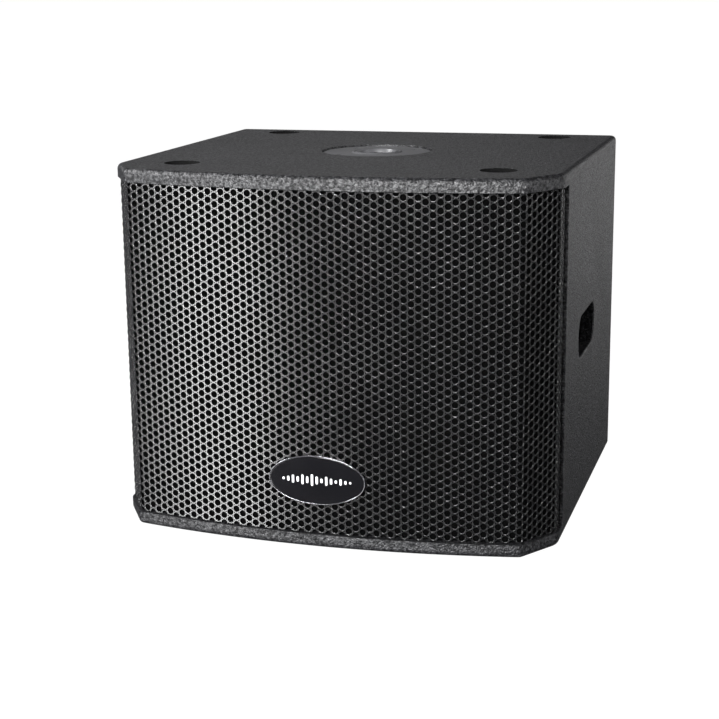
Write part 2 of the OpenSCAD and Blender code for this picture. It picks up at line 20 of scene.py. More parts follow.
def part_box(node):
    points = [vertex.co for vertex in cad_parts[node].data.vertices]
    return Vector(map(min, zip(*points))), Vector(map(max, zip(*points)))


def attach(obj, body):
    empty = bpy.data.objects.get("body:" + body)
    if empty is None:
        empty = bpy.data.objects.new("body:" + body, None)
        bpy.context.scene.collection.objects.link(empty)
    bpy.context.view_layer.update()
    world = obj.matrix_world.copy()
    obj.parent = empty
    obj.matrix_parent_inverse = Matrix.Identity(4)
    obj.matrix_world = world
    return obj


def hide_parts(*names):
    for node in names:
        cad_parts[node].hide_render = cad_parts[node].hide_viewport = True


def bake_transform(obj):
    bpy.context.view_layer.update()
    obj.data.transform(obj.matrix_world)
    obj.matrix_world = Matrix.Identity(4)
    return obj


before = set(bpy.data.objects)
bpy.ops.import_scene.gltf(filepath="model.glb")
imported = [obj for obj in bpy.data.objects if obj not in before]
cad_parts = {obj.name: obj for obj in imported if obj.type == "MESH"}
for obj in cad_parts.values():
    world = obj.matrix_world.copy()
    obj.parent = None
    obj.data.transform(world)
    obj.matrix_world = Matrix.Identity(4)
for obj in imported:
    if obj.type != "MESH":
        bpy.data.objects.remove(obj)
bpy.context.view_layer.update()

LOG = logging.getLogger("bass_speaker")
MM = 0.001
Colour = Tuple[float, float, float]
Outline = List[Tuple[float, float]]
CABINET = "cabinet"
CORNERS = ("front_left", "front_right", "rear_left", "rear_right")


# ---- shader groups shared by the finishes ----


class Group:
    """A shader node group with named inputs and outputs."""

    def __init__(self, name: str, inputs: Dict[str, float], outputs: Sequence[str]) -> None:
        """Makes the empty group.

        Args:
            name: The group's name.
            inputs: Each number input with its default. A Vector input is always there.
            outputs: Names of the outputs. "Color" is a colour, and the rest are numbers.
        """
        self.tree = bpy.data.node_groups.new(name, "ShaderNodeTree")
        face = self.tree.interface
        face.new_socket("Vector", in_out="INPUT", socket_type="NodeSocketVector")
        for key, value in inputs.items():
            face.new_socket(key, in_out="INPUT", socket_type="NodeSocketFloat").default_value = value
        for key in outputs:
            kind = "NodeSocketColor" if key == "Color" else "NodeSocketFloat"
            face.new_socket(key, in_out="OUTPUT", socket_type=kind)
        self.start = self.tree.nodes.new("NodeGroupInput")
        self.end = self.tree.nodes.new("NodeGroupOutput")

    def node(self, kind: str, **values: object) -> bpy.types.Node:
        """Adds a node, see place_node."""
        return place_node(self.tree, kind, **values)

    def join(self, source: bpy.types.NodeSocket, target: bpy.types.NodeSocket) -> None:
        """Links two sockets."""
        self.tree.links.new(source, target)


def place_node(tree: bpy.types.NodeTree, kind: str, **values: object) -> bpy.types.Node:
    """Adds a node to a tree.

    Args:
        tree: The node tree.
        kind: The node's type without the words ShaderNode.
        **values: Properties by name, or inputs by name with spaces as underscores.

    Returns:
        The new node. A value that is a socket is linked to the input.
    """
    node = tree.nodes.new("ShaderNode" + kind)
    for key, value in values.items():
        if hasattr(node, key) and key not in ("inputs", "outputs"):
            setattr(node, key, value)
            continue
        index = int(key[1:]) if key[0] == "i" and key[1:].isdigit() else key.replace("_", " ")
        socket = node.inputs[index]
        if isinstance(value, bpy.types.NodeSocket):
            tree.links.new(value, socket)
        else:
            socket.default_value = value
    return node


def grain_group() -> bpy.types.NodeTree:
    """Fine grain of paint, powder coat and mouldings: bumps, light flecks and a slow change of tone."""
    group = Group("coat_grain", {"Scale": 900.0, "Flecks": 0.3}, ["Height", "Fleck", "Tone", "Mottle"])
    place = group.start.outputs["Vector"]
    fine = group.node("TexNoise", Vector=place, Scale=group.start.outputs["Scale"], Detail=3.0)
    cells = group.node("TexVoronoi", Vector=place, Scale=group.start.outputs["Scale"])
    blend = group.node("Math", operation="MULTIPLY", i0=cells.outputs["Distance"], i1=0.6)
    height = group.node("Math", operation="SUBTRACT", i0=fine.outputs[0], i1=blend.outputs[0])
    sharp = group.node("MapRange", Value=fine.outputs[0], From_Min=0.56, From_Max=0.72)
    fleck = group.node("Math", operation="MULTIPLY", i0=sharp.outputs[0], i1=group.start.outputs["Flecks"])
    slow = group.node("TexNoise", Vector=place, Scale=9.0, Detail=4.0)
    coarse = group.node("Math", operation="MULTIPLY", i0=group.start.outputs["Scale"], i1=0.62)
    pebble = group.node("TexNoise", Vector=place, Scale=coarse.outputs[0], Detail=1.0)
    mottle = group.node("MapRange", Value=pebble.outputs[0], From_Min=0.36, From_Max=0.66)
    group.join(mottle.outputs[0], group.end.inputs["Mottle"])
    group.join(height.outputs[0], group.end.inputs["Height"])
    group.join(fleck.outputs[0], group.end.inputs["Fleck"])
    group.join(slow.outputs[0], group.end.inputs["Tone"])
    return group.tree


def wear_group() -> bpy.types.NodeTree:
    """Dust and handling marks: a mask of soft patches and fine specks."""
    group = Group("dust_and_marks", {"Amount": 0.5}, ["Mask"])
    place = group.start.outputs["Vector"]
    patch = group.node("TexNoise", Vector=place, Scale=14.0, Detail=5.0)
    soft = group.node("MapRange", Value=patch.outputs[0], From_Min=0.45, From_Max=0.75)
    speck = group.node("TexNoise", Vector=place, Scale=1400.0, Detail=1.0)
    dots = group.node("MapRange", Value=speck.outputs[0], From_Min=0.68, From_Max=0.76)
    both = group.node("Math", operation="MAXIMUM", i0=dots.outputs[0], i1=soft.outputs[0])
    mask = group.node("Math", operation="MULTIPLY", i0=both.outputs[0], i1=group.start.outputs["Amount"])
    group.join(mask.outputs[0], group.end.inputs["Mask"])
    return group.tree


def lines_group() -> bpy.types.NodeTree:
    """Drawn lines of brushed sheet, extrusions and wood grain, along X."""
    group = Group("drawn_lines", {"Scale": 300.0, "Stretch": 0.03}, ["Height", "Tone"])
    place = group.start.outputs["Vector"]
    along = group.node("CombineXYZ", X=group.start.outputs["Stretch"], Y=1.0, Z=1.0)
    drawn = group.node("VectorMath", operation="MULTIPLY", i0=place, i1=along.outputs[0])
    noise = group.node("TexNoise", Vector=drawn.outputs[0], Scale=group.start.outputs["Scale"], Detail=6.0)
    group.join(noise.outputs[0], group.end.inputs["Height"])
    wide = group.node("TexNoise", Vector=drawn.outputs[0], Scale=40.0, Detail=3.0)
    group.join(wide.outputs[0], group.end.inputs["Tone"])
    return group.tree


def fibre_group() -> bpy.types.NodeTree:
    """Open foam, wadding and pressed pulp: ragged cells and fibres."""
    group = Group("cells_and_fibres", {"Scale": 600.0}, ["Height", "Tone"])
    place = group.start.outputs["Vector"]
    warp = group.node("TexNoise", Vector=place, Scale=180.0, Detail=4.0)
    moved = group.node("VectorMath", operation="MULTIPLY_ADD", i0=warp.outputs["Color"],
                       i1=(0.004, 0.004, 0.004), i2=place)
    cells = group.node("TexVoronoi", Vector=moved.outputs[0], Scale=group.start.outputs["Scale"],
                       feature="DISTANCE_TO_EDGE")
    group.join(cells.outputs["Distance"], group.end.inputs["Height"])
    group.join(warp.outputs[0], group.end.inputs["Tone"])
    return group.tree


def weave_group() -> bpy.types.NodeTree:
    """Two crossing sets of threads."""
    group = Group("woven_threads", {"Scale": 700.0}, ["Height"])
    place = group.start.outputs["Vector"]
    waves = [group.node("TexWave", Vector=place, Scale=group.start.outputs["Scale"],
                        bands_direction=axis, wave_profile="SIN") for axis in ("X", "Z")]
    top = group.node("Math", operation="MAXIMUM", i0=waves[0].outputs[1], i1=waves[1].outputs[1])
    group.join(top.outputs[0], group.end.inputs["Height"])
    return group.tree


class Pattern(Enum):
    """The surface patterns, each with the group that draws it."""

    GRAIN = "coat_grain"
    LINES = "drawn_lines"
    FIBRES = "cells_and_fibres"
    WEAVE = "woven_threads"


PATTERN_MAKERS: Dict[Pattern, Callable[[], bpy.types.NodeTree]] = {
    Pattern.GRAIN: grain_group,
    Pattern.LINES: lines_group,
    Pattern.FIBRES: fibre_group,
    Pattern.WEAVE: weave_group,
}


def group_named(name: str, maker: Callable[[], bpy.types.NodeTree]) -> bpy.types.NodeTree:
    """The group of that name, made at its first use."""
    return bpy.data.node_groups.get(name) or maker()


@dataclass(frozen=True)
class Finish:
    """A procedural finish: a colour, a gloss, and a pattern with its scale and depth."""

    name: str
    colour: Colour
    rough: float = 0.45
    metal: float = 0.0
    specular: float = 0.5
    pattern: Pattern = Pattern.GRAIN
    scale: float = 900.0
    depth: float = 0.03
    tone: float = 0.25
    flecks: float = 0.3
    fleck_colour: Colour = (0.2, 0.2, 0.21)
    marks: float = 0.15
    mottle: float = 0.0
    coat: float = 0.0
    sheen: float = 0.0
    clear: float = 0.0
    turned: Tuple[float, float, float] = (0.0, 0.0, 0.0)

    def material(self) -> bpy.types.Material:
        """The finish as a material, made at its first use.

        Returns:
            A material whose pattern follows the object's own coordinates.
        """
        found = bpy.data.materials.get(self.name)
        if found:
            return found
        made = bpy.data.materials.new(self.name)
        made.use_nodes = True
        tree = made.node_tree
        shader = tree.nodes["Principled BSDF"]
        place = place_node(tree, "TexCoord").outputs["Object"]
        if any(self.turned):
            place = place_node(tree, "Mapping", Vector=place, Rotation=self.turned).outputs[0]
        pattern = place_node(tree, "Group", node_tree=group_named(self.pattern.value,
                                                                PATTERN_MAKERS[self.pattern]))
        tree.links.new(place, pattern.inputs["Vector"])
        pattern.inputs["Scale"].default_value = self.scale
        dust = place_node(tree, "Group", node_tree=group_named("dust_and_marks", wear_group))
        tree.links.new(place, dust.inputs["Vector"])
        dust.inputs["Amount"].default_value = self.marks
        self._wire_colour(tree, shader, pattern, dust)
        bump = place_node(tree, "Bump", Height=pattern.outputs["Height"], Strength=1.0,
                          Distance=self.depth * MM)
        tree.links.new(bump.outputs[0], shader.inputs["Normal"])
        shader.inputs["Metallic"].default_value = self.metal
        shader.inputs["Specular IOR Level"].default_value = self.specular
        shader.inputs["Coat Weight"].default_value = self.coat
        shader.inputs["Coat Roughness"].default_value = 0.06
        shader.inputs["Sheen Weight"].default_value = self.sheen
        shader.inputs["Transmission Weight"].default_value = self.clear
        return made

    def _wire_colour(self, tree: bpy.types.NodeTree, shader: bpy.types.Node,
                     pattern: bpy.types.Node, dust: bpy.types.Node) -> None:
        """Joins the colour and the roughness to the shader.

        Args:
            tree: The material's tree.
            shader: Its Principled BSDF.
            pattern: The pattern group's node.
            dust: The dust group's node.
        """
        varied = pattern.outputs["Tone"] if "Tone" in pattern.outputs else pattern.outputs["Height"]
        low, high = 1.0 - self.tone, 1.0 + self.tone
        tones = place_node(tree, "MapRange", Value=varied, From_Min=0.3, From_Max=0.7,
                           To_Min=low, To_Max=high)
        base = place_node(tree, "Mix", data_type="RGBA", blend_type="MULTIPLY", i0=1.0)
        base.inputs[6].default_value = (*self.colour, 1.0)
        tree.links.new(tones.outputs[0], base.inputs[7])
        top = base.outputs[2]
        if "Fleck" in pattern.outputs:
            pattern.inputs["Flecks"].default_value = self.flecks
            fleck = place_node(tree, "Mix", data_type="RGBA", i0=pattern.outputs["Fleck"])
            tree.links.new(top, fleck.inputs[6])
            fleck.inputs[7].default_value = (*self.fleck_colour, 1.0)
            top = fleck.outputs[2]
        if self.mottle:
            spots = place_node(tree, "MapRange", Value=pattern.outputs["Mottle"],
                               To_Min=1.0 - self.mottle, To_Max=1.0 + self.mottle)
            spotted = place_node(tree, "Mix", data_type="RGBA", blend_type="MULTIPLY", i0=1.0)
            tree.links.new(top, spotted.inputs[6])
            tree.links.new(spots.outputs[0], spotted.inputs[7])
            top = spotted.outputs[2]
            gloss = place_node(tree, "MapRange", Value=pattern.outputs["Mottle"],
                               To_Min=self.specular * (1.0 - self.mottle),
                               To_Max=self.specular * (1.0 + self.mottle))
            tree.links.new(gloss.outputs[0], shader.inputs["Specular IOR Level"])
        tree.links.new(top, shader.inputs["Base Color"])
        worn = place_node(tree, "MapRange", Value=dust.outputs[0], To_Min=self.rough,
                          To_Max=min(1.0, self.rough + 0.35))
        tree.links.new(worn.outputs[0], shader.inputs["Roughness"])


PAINT = Finish("textured_black_paint", (0.01, 0.01, 0.0115), rough=0.42, scale=470.0, depth=0.9,
               flecks=0.9, fleck_colour=(0.07, 0.07, 0.073), marks=0.1, mottle=0.55)
# Near-black, almost unreflective finish for the floors and walls of the four stacking recesses: painted
# shade that darkens the recesses.
RECESS_SHADE = Finish("recess_painted_shade", (0.004, 0.004, 0.004), rough=0.9, specular=0.08, scale=1300.0,
                    depth=0.05, flecks=0.1)
COAT = Finish("grille_powder_coat", (0.005, 0.005, 0.0055), rough=0.22, specular=1.0, scale=1400.0,
              depth=0.02, flecks=0.15)
FOAM = Finish("black_open_foam", (0.0012, 0.0012, 0.0012), rough=1.0, specular=0.02,
              pattern=Pattern.FIBRES, scale=700.0, depth=0.6)
BADGE_GLOSS = Finish("badge_gloss_black", (0.003, 0.003, 0.004), rough=0.12, depth=0.002,
                     flecks=0.0, marks=0.1, coat=0.6)
BADGE_MARK = Finish("badge_white_print", (0.8, 0.8, 0.82), rough=0.35, depth=0.004, flecks=0.0, tone=0.03)
POLISHED = Finish("polished_rim", (0.16, 0.16, 0.17), rough=0.2, metal=1.0, scale=1500.0, depth=0.003,
                  flecks=0.0, tone=0.05)
CASTING = Finish("black_casting", (0.075, 0.075, 0.08), rough=0.36, scale=1100.0, depth=0.03,
                 flecks=0.25, fleck_colour=(0.12, 0.12, 0.13))
DARK_SCREW = Finish("blackened_screw", (0.06, 0.06, 0.065), rough=0.32, metal=0.9, scale=2500.0,
                    depth=0.008, flecks=0.2)
ZINC = Finish("zinc_plate", (0.56, 0.57, 0.6), rough=0.3, metal=1.0, scale=420.0, depth=0.006, tone=0.12,
              flecks=0.1, fleck_colour=(0.7, 0.7, 0.7))
MOULDING = Finish("moulded_black", (0.018, 0.018, 0.02), rough=0.48, scale=1500.0, depth=0.03, flecks=0.1)
GLOSS_MOULDING = Finish("moulded_gloss_black", (0.012, 0.012, 0.013), rough=0.22, scale=1800.0,
                        depth=0.006, flecks=0.05)
RUBBER = Finish("black_rubber", (0.014, 0.014, 0.014), rough=0.78, specular=0.35, scale=1300.0,
                depth=0.05, flecks=0.2, fleck_colour=(0.05, 0.05, 0.05), marks=0.4)
STAINED_PLY = Finish("black_stained_ply", (0.016, 0.015, 0.015), rough=0.72, pattern=Pattern.LINES,
                     scale=420.0, depth=0.06)
BARE_PLY = Finish("bare_ply", (0.5, 0.35, 0.19), rough=0.7, pattern=Pattern.LINES, scale=260.0,
                  depth=0.05, tone=0.3)
WADDING = Finish("white_wadding", (0.62, 0.6, 0.55), rough=1.0, specular=0.1, pattern=Pattern.FIBRES,
                 scale=320.0, depth=1.2, sheen=0.4)
PULP = Finish("pressed_pulp", (0.022, 0.022, 0.022), rough=0.82, pattern=Pattern.FIBRES, scale=420.0,
              depth=0.12)
COPPER = Finish("lacquered_copper", (0.62, 0.27, 0.1), rough=0.28, metal=1.0, pattern=Pattern.LINES,
                scale=900.0, depth=0.05, tone=0.15, coat=0.4)
SPIDER_CLOTH = Finish("stiffened_cloth", (0.5, 0.34, 0.12), rough=0.8, pattern=Pattern.WEAVE,
                      scale=260.0, depth=0.12)
FERRITE = Finish("ferrite", (0.055, 0.055, 0.058), rough=0.6, scale=800.0, depth=0.08,
                 fleck_colour=(0.15, 0.15, 0.15))
TIN = Finish("tinned_brass", (0.7, 0.6, 0.36), rough=0.25, metal=1.0, scale=1500.0, depth=0.01, flecks=0.0)
CABLE_JACKET = Finish("cable_jacket", (0.02, 0.02, 0.022), rough=0.5, scale=1500.0, depth=0.02)
PANEL_COAT = Finish("amp_panel_coat", (0.024, 0.024, 0.026), rough=0.4, scale=1500.0, depth=0.025,
                    flecks=0.25, fleck_colour=(0.08, 0.08, 0.085))
MILL_SHEET = Finish("mill_aluminium", (0.62, 0.63, 0.65), rough=0.34, metal=1.0, pattern=Pattern.LINES,
                    scale=700.0, depth=0.02, tone=0.1)
ANODISED = Finish("black_anodised", (0.03, 0.03, 0.034), rough=0.36, metal=0.7, pattern=Pattern.LINES,
                  scale=1200.0, depth=0.03, tone=0.2, turned=(0.0, math.pi / 2, 0.0))
SOLDER_MASK = Finish("solder_mask", (0.012, 0.11, 0.045), rough=0.3, pattern=Pattern.WEAVE, scale=60.0,
                     depth=0.03, coat=0.3)
SLEEVE = Finish("capacitor_sleeve", (0.015, 0.02, 0.08), rough=0.3, scale=700.0, depth=0.01, flecks=0.0)
ROCKER_RED = Finish("rocker_red", (0.5, 0.018, 0.012), rough=0.3, scale=1500.0, depth=0.006, flecks=0.0,
                    tone=0.06)
SLIDER_WHITE = Finish("slider_white", (0.72, 0.72, 0.72), rough=0.42, scale=1500.0, depth=0.01, flecks=0.0,
                      tone=0.05)
LENS_GREEN = Finish("lens_green", (0.16, 0.6, 0.2), rough=0.12, depth=0.001, flecks=0.0, clear=0.5)


# ---- building and placing pieces ----


def span(node: str) -> Tuple[Vector, Vector]:
    """Lowest and highest corner of a CAD node, in millimetres."""
    low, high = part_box(node)
    return low / MM, high / MM


def middle_of(node: str) -> Vector:
    """Middle of a CAD node's box, in millimetres."""
    return sum(span(node), Vector()) / 2


def added(name: str, data: bpy.types.ID) -> bpy.types.Object:
    """A new object in the scene, at the origin."""
    thing = bpy.data.objects.new(name, data)
    bpy.context.scene.collection.objects.link(thing)
    return thing


def cad_copy(node: str, dist: float) -> bmesh.types.BMesh:
    """A CAD node's mesh in millimetres, with points closer than dist metres merged."""
    bm = bmesh.new()
    bm.from_mesh(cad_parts[node].data)
    bmesh.ops.remove_doubles(bm, verts=bm.verts, dist=dist)
    bmesh.ops.scale(bm, vec=(1 / MM,) * 3, verts=bm.verts)
    return bm


def loop_at(bm: bmesh.types.BMesh, outline: Iterable[Tuple[float, float]], z: float) -> List:
    """Adds a closed loop of edges at a height, and gives the edges."""
    verts = [bm.verts.new((x, y, z)) for x, y in outline]
    return [bm.edges.new((a, b)) for a, b in zip(verts, verts[1:] + verts[:1])]


def extruded(bm: bmesh.types.BMesh, faces: Sequence[bmesh.types.BMFace]) -> List[bmesh.types.BMVert]:
    """Extrudes faces in place, and gives the new vertices."""
    raised = bmesh.ops.extrude_face_region(bm, geom=faces)
    return [g for g in raised["geom"] if isinstance(g, bmesh.types.BMVert)]


def halved(bm: bmesh.types.BMesh, point: Sequence[float], outwards: Sequence[float]) -> None:
    """Cuts away what lies beyond a plane."""
    bmesh.ops.bisect_plane(bm, geom=bm.verts[:] + bm.edges[:] + bm.faces[:], dist=1e-4,
                           plane_co=point, plane_no=outwards, clear_outer=True)


def direction(azimuth: float, elevation: float) -> Vector:
    """The way out to that azimuth, in radians round from the front to the right, and elevation."""
    return Vector((math.sin(azimuth) * math.cos(elevation),
                   -math.cos(azimuth) * math.cos(elevation), math.sin(elevation)))


def place(bm: bmesh.types.BMesh, name: str, finish: Finish, body: str = CABINET,
          stands_for: Sequence[str] = (), angle: float = 38.0, weighted: bool = True,
          slot: str = "", rides: bool = True) -> bpy.types.Object:
    """Turns a mesh in millimetres into a finished piece on its body.

    Args:
        bm: The mesh, which is freed.
        name: The piece's name.
        finish: Its finish.
        body: The CAD body it rides on.
        stands_for: CAD nodes it replaces.
        angle: Edges sharper than this many degrees stay sharp.
        weighted: Whether flat faces keep flat shading beside rounded edges.
        slot: The record's slot, when it isn't the first node of stands_for. Not used.
        rides: Whether it rides on the body.

    Returns:
        The new object.
    """
    bmesh.ops.scale(bm, vec=(MM, MM, MM), verts=bm.verts)
    mesh = bpy.data.meshes.new(name)
    bm.to_mesh(mesh)
    bm.free()
    mesh.shade_smooth()
    mesh.set_sharp_from_angle(angle=math.radians(angle))
    piece = added(name, mesh)
    mesh.materials.append(finish.material())
    if weighted:
        piece.modifiers.new("flat_faces", "WEIGHTED_NORMAL").keep_sharp = True
    if rides:
        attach(piece, body)
    if stands_for:
        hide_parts(*stands_for)
    LOG.info("%s: %d faces, %s, on %s", name, len(mesh.polygons), finish.name, body)
    return piece


def dress(node: str, finish: Finish) -> None:
    """Gives a CAD node that keeps its shape a finish."""
    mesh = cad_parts[node].data
    mesh.materials.clear()
    mesh.materials.append(finish.material())
    LOG.info("%s: kept shape, %s", node, finish.name)


def softened(node: str, finish: Finish, width: float, body: str = CABINET) -> bpy.types.Object:
    """A copy of a CAD node whose sharp edges are rounded.

    Args:
        node: The CAD node that the copy replaces.
        finish: Its finish.
        width: Width of the rounding in millimetres.
        body: The CAD body it rides on.

    Returns:
        The new object.
    """
    bm = cad_copy(node, 2e-6)
    bmesh.ops.dissolve_limit(bm, angle_limit=math.radians(0.6), verts=bm.verts, edges=bm.edges)
    piece = place(bm, node + "_rounded", finish, body, [node], weighted=False)
    bevel = piece.modifiers.new("rounding", "BEVEL")
    bevel.width = width * MM
    bevel.segments = 2
    bevel.limit_method = "ANGLE"
    bevel.angle_limit = math.radians(48)
    bevel.use_clamp_overlap = True
    bevel.harden_normals = False
    piece.modifiers.new("flat_faces", "WEIGHTED_NORMAL").keep_sharp = True
    return piece


def lathe(profile: Outline, steps: int = 64) -> bmesh.types.BMesh:
    """A closed turned shape about Z.

    Args:
        profile: (radius, height) points from pole to pole, or a closed loop off the axis.
        steps: Segments around.

    Returns:
        The shape, with its faces outwards.
    """
    bm = bmesh.new()
    points = [bm.verts.new((r, 0.0, z)) for r, z in profile]
    edges = [bm.edges.new(pair) for pair in zip(points, points[1:])]
    if min(r for r, _ in profile) > 1e-6:
        edges.append(bm.edges.new((points[-1], points[0])))
    bmesh.ops.spin(bm, geom=points + edges, cent=(0, 0, 0), axis=(0, 0, 1), dvec=(0, 0, 0),
                   angle=2 * math.pi, steps=steps, use_merge=True, use_duplicate=False)
    bmesh.ops.remove_doubles(bm, verts=bm.verts, dist=1e-4)
    bmesh.ops.recalc_face_normals(bm, faces=bm.faces)
    return bm


def slab(outline: Outline, low: float, high: float, edge: float = 0.0, segments: int = 3,
         both: bool = False) -> bmesh.types.BMesh:
    """A flat shape in XY raised from low to high, with its upper edge rounded.

    Args:
        outline: Points in order, anticlockwise seen from +Z.
        low: Lower height.
        high: Upper height.
        edge: Radius of the rounding, or none at 0.
        segments: Faces across the rounding.
        both: Whether the lower edge is rounded too.

    Returns:
        The closed shape.
    """
    bm = bmesh.new()
    base = bm.faces.new([bm.verts.new((x, y, low)) for x, y in outline])
    bmesh.ops.translate(bm, verts=extruded(bm, [base]), vec=(0, 0, high - low))
    bmesh.ops.recalc_face_normals(bm, faces=bm.faces)
    if edge:
        heights = (low, high) if both else (high,)
        rims = [e for e in bm.edges
                if any(all(abs(v.co.z - h) < 1e-5 for v in e.verts) for h in heights)]
        bmesh.ops.bevel(bm, geom=rims, offset=edge, offset_type="OFFSET", affect="EDGES",
                        segments=segments, profile=0.5, material=-1, clamp_overlap=True)
    return bm


def round_rect(wide: float, high: float, r: float, steps: int = 6) -> Outline:
    """Rectangle about the origin with round corners, anticlockwise."""
    points = []
    for k, (sx, sy) in enumerate(((1, 1), (-1, 1), (-1, -1), (1, -1))):
        for s in range(steps + 1):
            a = math.pi / 2 * (k + s / steps)
            points.append((sx * (wide / 2 - r) + r * math.cos(a), sy * (high / 2 - r) + r * math.sin(a)))
    return points


def circle(r: float, steps: int = 32) -> Outline:
    """Circle about the origin, anticlockwise."""
    return [(r * math.cos(2 * math.pi * k / steps), r * math.sin(2 * math.pi * k / steps))
            for k in range(steps)]


def oval(wide: float, high: float, steps: int = 96) -> Outline:
    """Ellipse about the origin, anticlockwise."""
    return [(wide / 2 * x, high / 2 * y) for x, y in circle(1.0, steps)]


def moved(bm: bmesh.types.BMesh, matrix: Matrix) -> bmesh.types.BMesh:
    """The same mesh after a transform."""
    bmesh.ops.transform(bm, matrix=matrix, verts=bm.verts)
    return bm


def joined(parts: Iterable[bmesh.types.BMesh]) -> bmesh.types.BMesh:
    """All the parts as one mesh. The parts are freed."""
    whole = bmesh.new()
    for part in parts:
        loose = bpy.data.meshes.new("part")
        part.to_mesh(loose)
        part.free()
        whole.from_mesh(loose)
        bpy.data.meshes.remove(loose)
    return whole


def copies(part: bmesh.types.BMesh, matrices: Iterable[Matrix]) -> bmesh.types.BMesh:
    """The part once for each matrix, as one mesh. The part is freed."""
    loose = bpy.data.meshes.new("part")
    part.to_mesh(loose)
    part.free()
    whole = bmesh.new()
    for matrix in matrices:
        one = loose.copy()
        one.transform(matrix)
        whole.from_mesh(one)
        bpy.data.meshes.remove(one)
    bpy.data.meshes.remove(loose)
    return whole


def carved(bm: bmesh.types.BMesh, *tools: bmesh.types.BMesh) -> bmesh.types.BMesh:
    """bm less the tools' shapes.

    Args:
        bm: A closed mesh, which is freed.
        *tools: Closed meshes, which are freed.

    Returns:
        A new mesh.
    """
    objects = []
    for part in (bm, joined(tools)):
        mesh = bpy.data.meshes.new("carving")
        part.to_mesh(mesh)
        part.free()
        objects.append(added("carving", mesh))
    cut = objects[0].modifiers.new("cut", "BOOLEAN")
    cut.operation = "DIFFERENCE"
    cut.solver = "EXACT"
    cut.object = objects[1]
    evaluated = objects[0].evaluated_get(bpy.context.evaluated_depsgraph_get())
    result = bmesh.new()
    result.from_mesh(evaluated.to_mesh())
    evaluated.to_mesh_clear()
    for thing in objects:
        mesh = thing.data
        bpy.data.objects.remove(thing)
        bpy.data.meshes.remove(mesh)
    return result


def shift(x: float, y: float, z: float) -> Matrix:
    """A move by that much."""
    return Matrix.Translation((x, y, z))


# Drawings made with +Z out of the front (-Y) or out of the back (+Y), and +Y up
OUT_OF_FRONT = Matrix.Rotation(math.pi / 2, 4, "X")
OUT_OF_BACK = Matrix.Rotation(math.pi, 4, "Z") @ OUT_OF_FRONT


def cross_head(head_r: float, high: float, recess: float = 0.55) -> bmesh.types.BMesh:
    """Screw head from z = 0 up, domed, with a cross recess.

    Args:
        head_r: Radius of the head.
        high: Height of the head.
        recess: Length of the recess as a share of the radius.

    Returns:
        The head.
    """
    dome = [(0.0, 0.0), (head_r, 0.0), (head_r, high * 0.35)]
    dome += [(head_r * math.cos(a), high * (0.35 + 0.65 * math.sin(a)))
             for a in (0.35, 0.7, 1.05, 1.3)] + [(0.0, high)]
    head = lathe(dome, 24)
    arm, thin = head_r * recess, head_r * 0.13
    plus = [(arm, -thin), (arm, thin), (thin, thin), (thin, arm), (-thin, arm), (-thin, thin),
            (-arm, thin), (-arm, -thin), (-thin, -thin), (-thin, -arm), (thin, -arm), (thin, -thin)]
    return carved(head, slab(plus, high * 0.35, high * 1.5))


# ---- the front's outline in plan ----


@dataclass
class FrontOutline:
    """The cabinet's outline in plan: a bowed front, an angled facet each side and straight sides."""

    half_w: float = 253.0
    front_y: float = -239.0
    back_y: float = 239.0
    rise: float = 23.0
    facet: Tuple[float, float] = (31.0, 49.0)
    bow_round: float = 8.0
    side_round: float = 24.0
    back_round: float = 9.0

    def bow_radius(self) -> float:
        """Radius of the bow through the facets' front corners."""
        half = self.half_w - self.facet[0]
        return (half * half + self.rise * self.rise) / (2 * self.rise)

    def corners(self, inset: float) -> Tuple[Vector, Vector]:
        """Bow corner and side corner on the right, moved in by inset."""
        length = math.hypot(*self.facet)
        along = Vector(self.facet) / length
        inward = Vector((-self.facet[1], self.facet[0])) / length
        middle = self.front_y + self.bow_radius()
        start = Vector((self.half_w - self.facet[0], self.front_y + self.rise - middle)) + inward * inset
        r = self.bow_radius() - inset
        t = -(start @ along) - math.sqrt((start @ along) ** 2 - start @ start + r * r)
        bow = start + along * t + Vector((0, middle))
        side_y = self.front_y + self.rise + self.facet[1]
        side = Vector((self.half_w - inset, side_y + inset * (length - self.facet[1]) / self.facet[0]))
        return bow, side

    def right_half(self, inset: float, end_y: float, fillets: Tuple[float, float],
                   bow_steps: int = 40) -> Outline:
        """Points from the middle of the bow along the right side to end_y.

        Args:
            inset: How far the line lies inside the outline.
            end_y: Where the line ends on the side.
            fillets: Radii at the bow's corner and at the side's corner.
            bow_steps: Points on the bow.

        Returns:
            The points, the first one at x = 0.
        """
        bow, side = self.corners(inset)
        middle, r = self.front_y + self.bow_radius(), self.bow_radius() - inset
        limit = math.asin(bow.x / r)
        slope = math.atan2(self.facet[1], self.facet[0])
        trims = [max(0.05, f * math.tan(turn / 2))
                 for f, turn in zip(fillets, (slope - limit, math.pi / 2 - slope))]
        last = limit - trims[0] / r
        points = [Vector((r * math.sin(a), middle - r * math.cos(a)))
                  for a in (last * k / bow_steps for k in range(bow_steps + 1))]
        along = (side - bow).normalized()
        for corner, before, after in (
                (bow, points[-1], bow + along * trims[0]),
                (side, side - along * trims[1], side + Vector((0, trims[1])))):
            for t in (k / 8 for k in range(1 if corner is bow else 0, 9)):
                points.append(before * (1 - t) ** 2 + corner * 2 * t * (1 - t) + after * t * t)
        points.append(Vector((self.half_w - inset, end_y)))
        return [(p.x, p.y) for p in points]

    def whole(self, inset: float) -> Outline:
        """The closed outline, anticlockwise seen from above, with rounded corners."""
        fillets = (max(0.5, self.bow_round - inset * 0.4), max(1.0, self.side_round - inset))
        r = max(0.4, self.back_round - inset)
        edge, back = self.half_w - inset, self.back_y - inset
        right = self.right_half(inset, back - r, fillets)
        right += [(edge - r + r * math.cos(a), back - r + r * math.sin(a))
                  for a in (math.pi / 2 * k / 5 for k in range(1, 6))]
        return right + [(-x, y) for x, y in reversed(right[1:])]


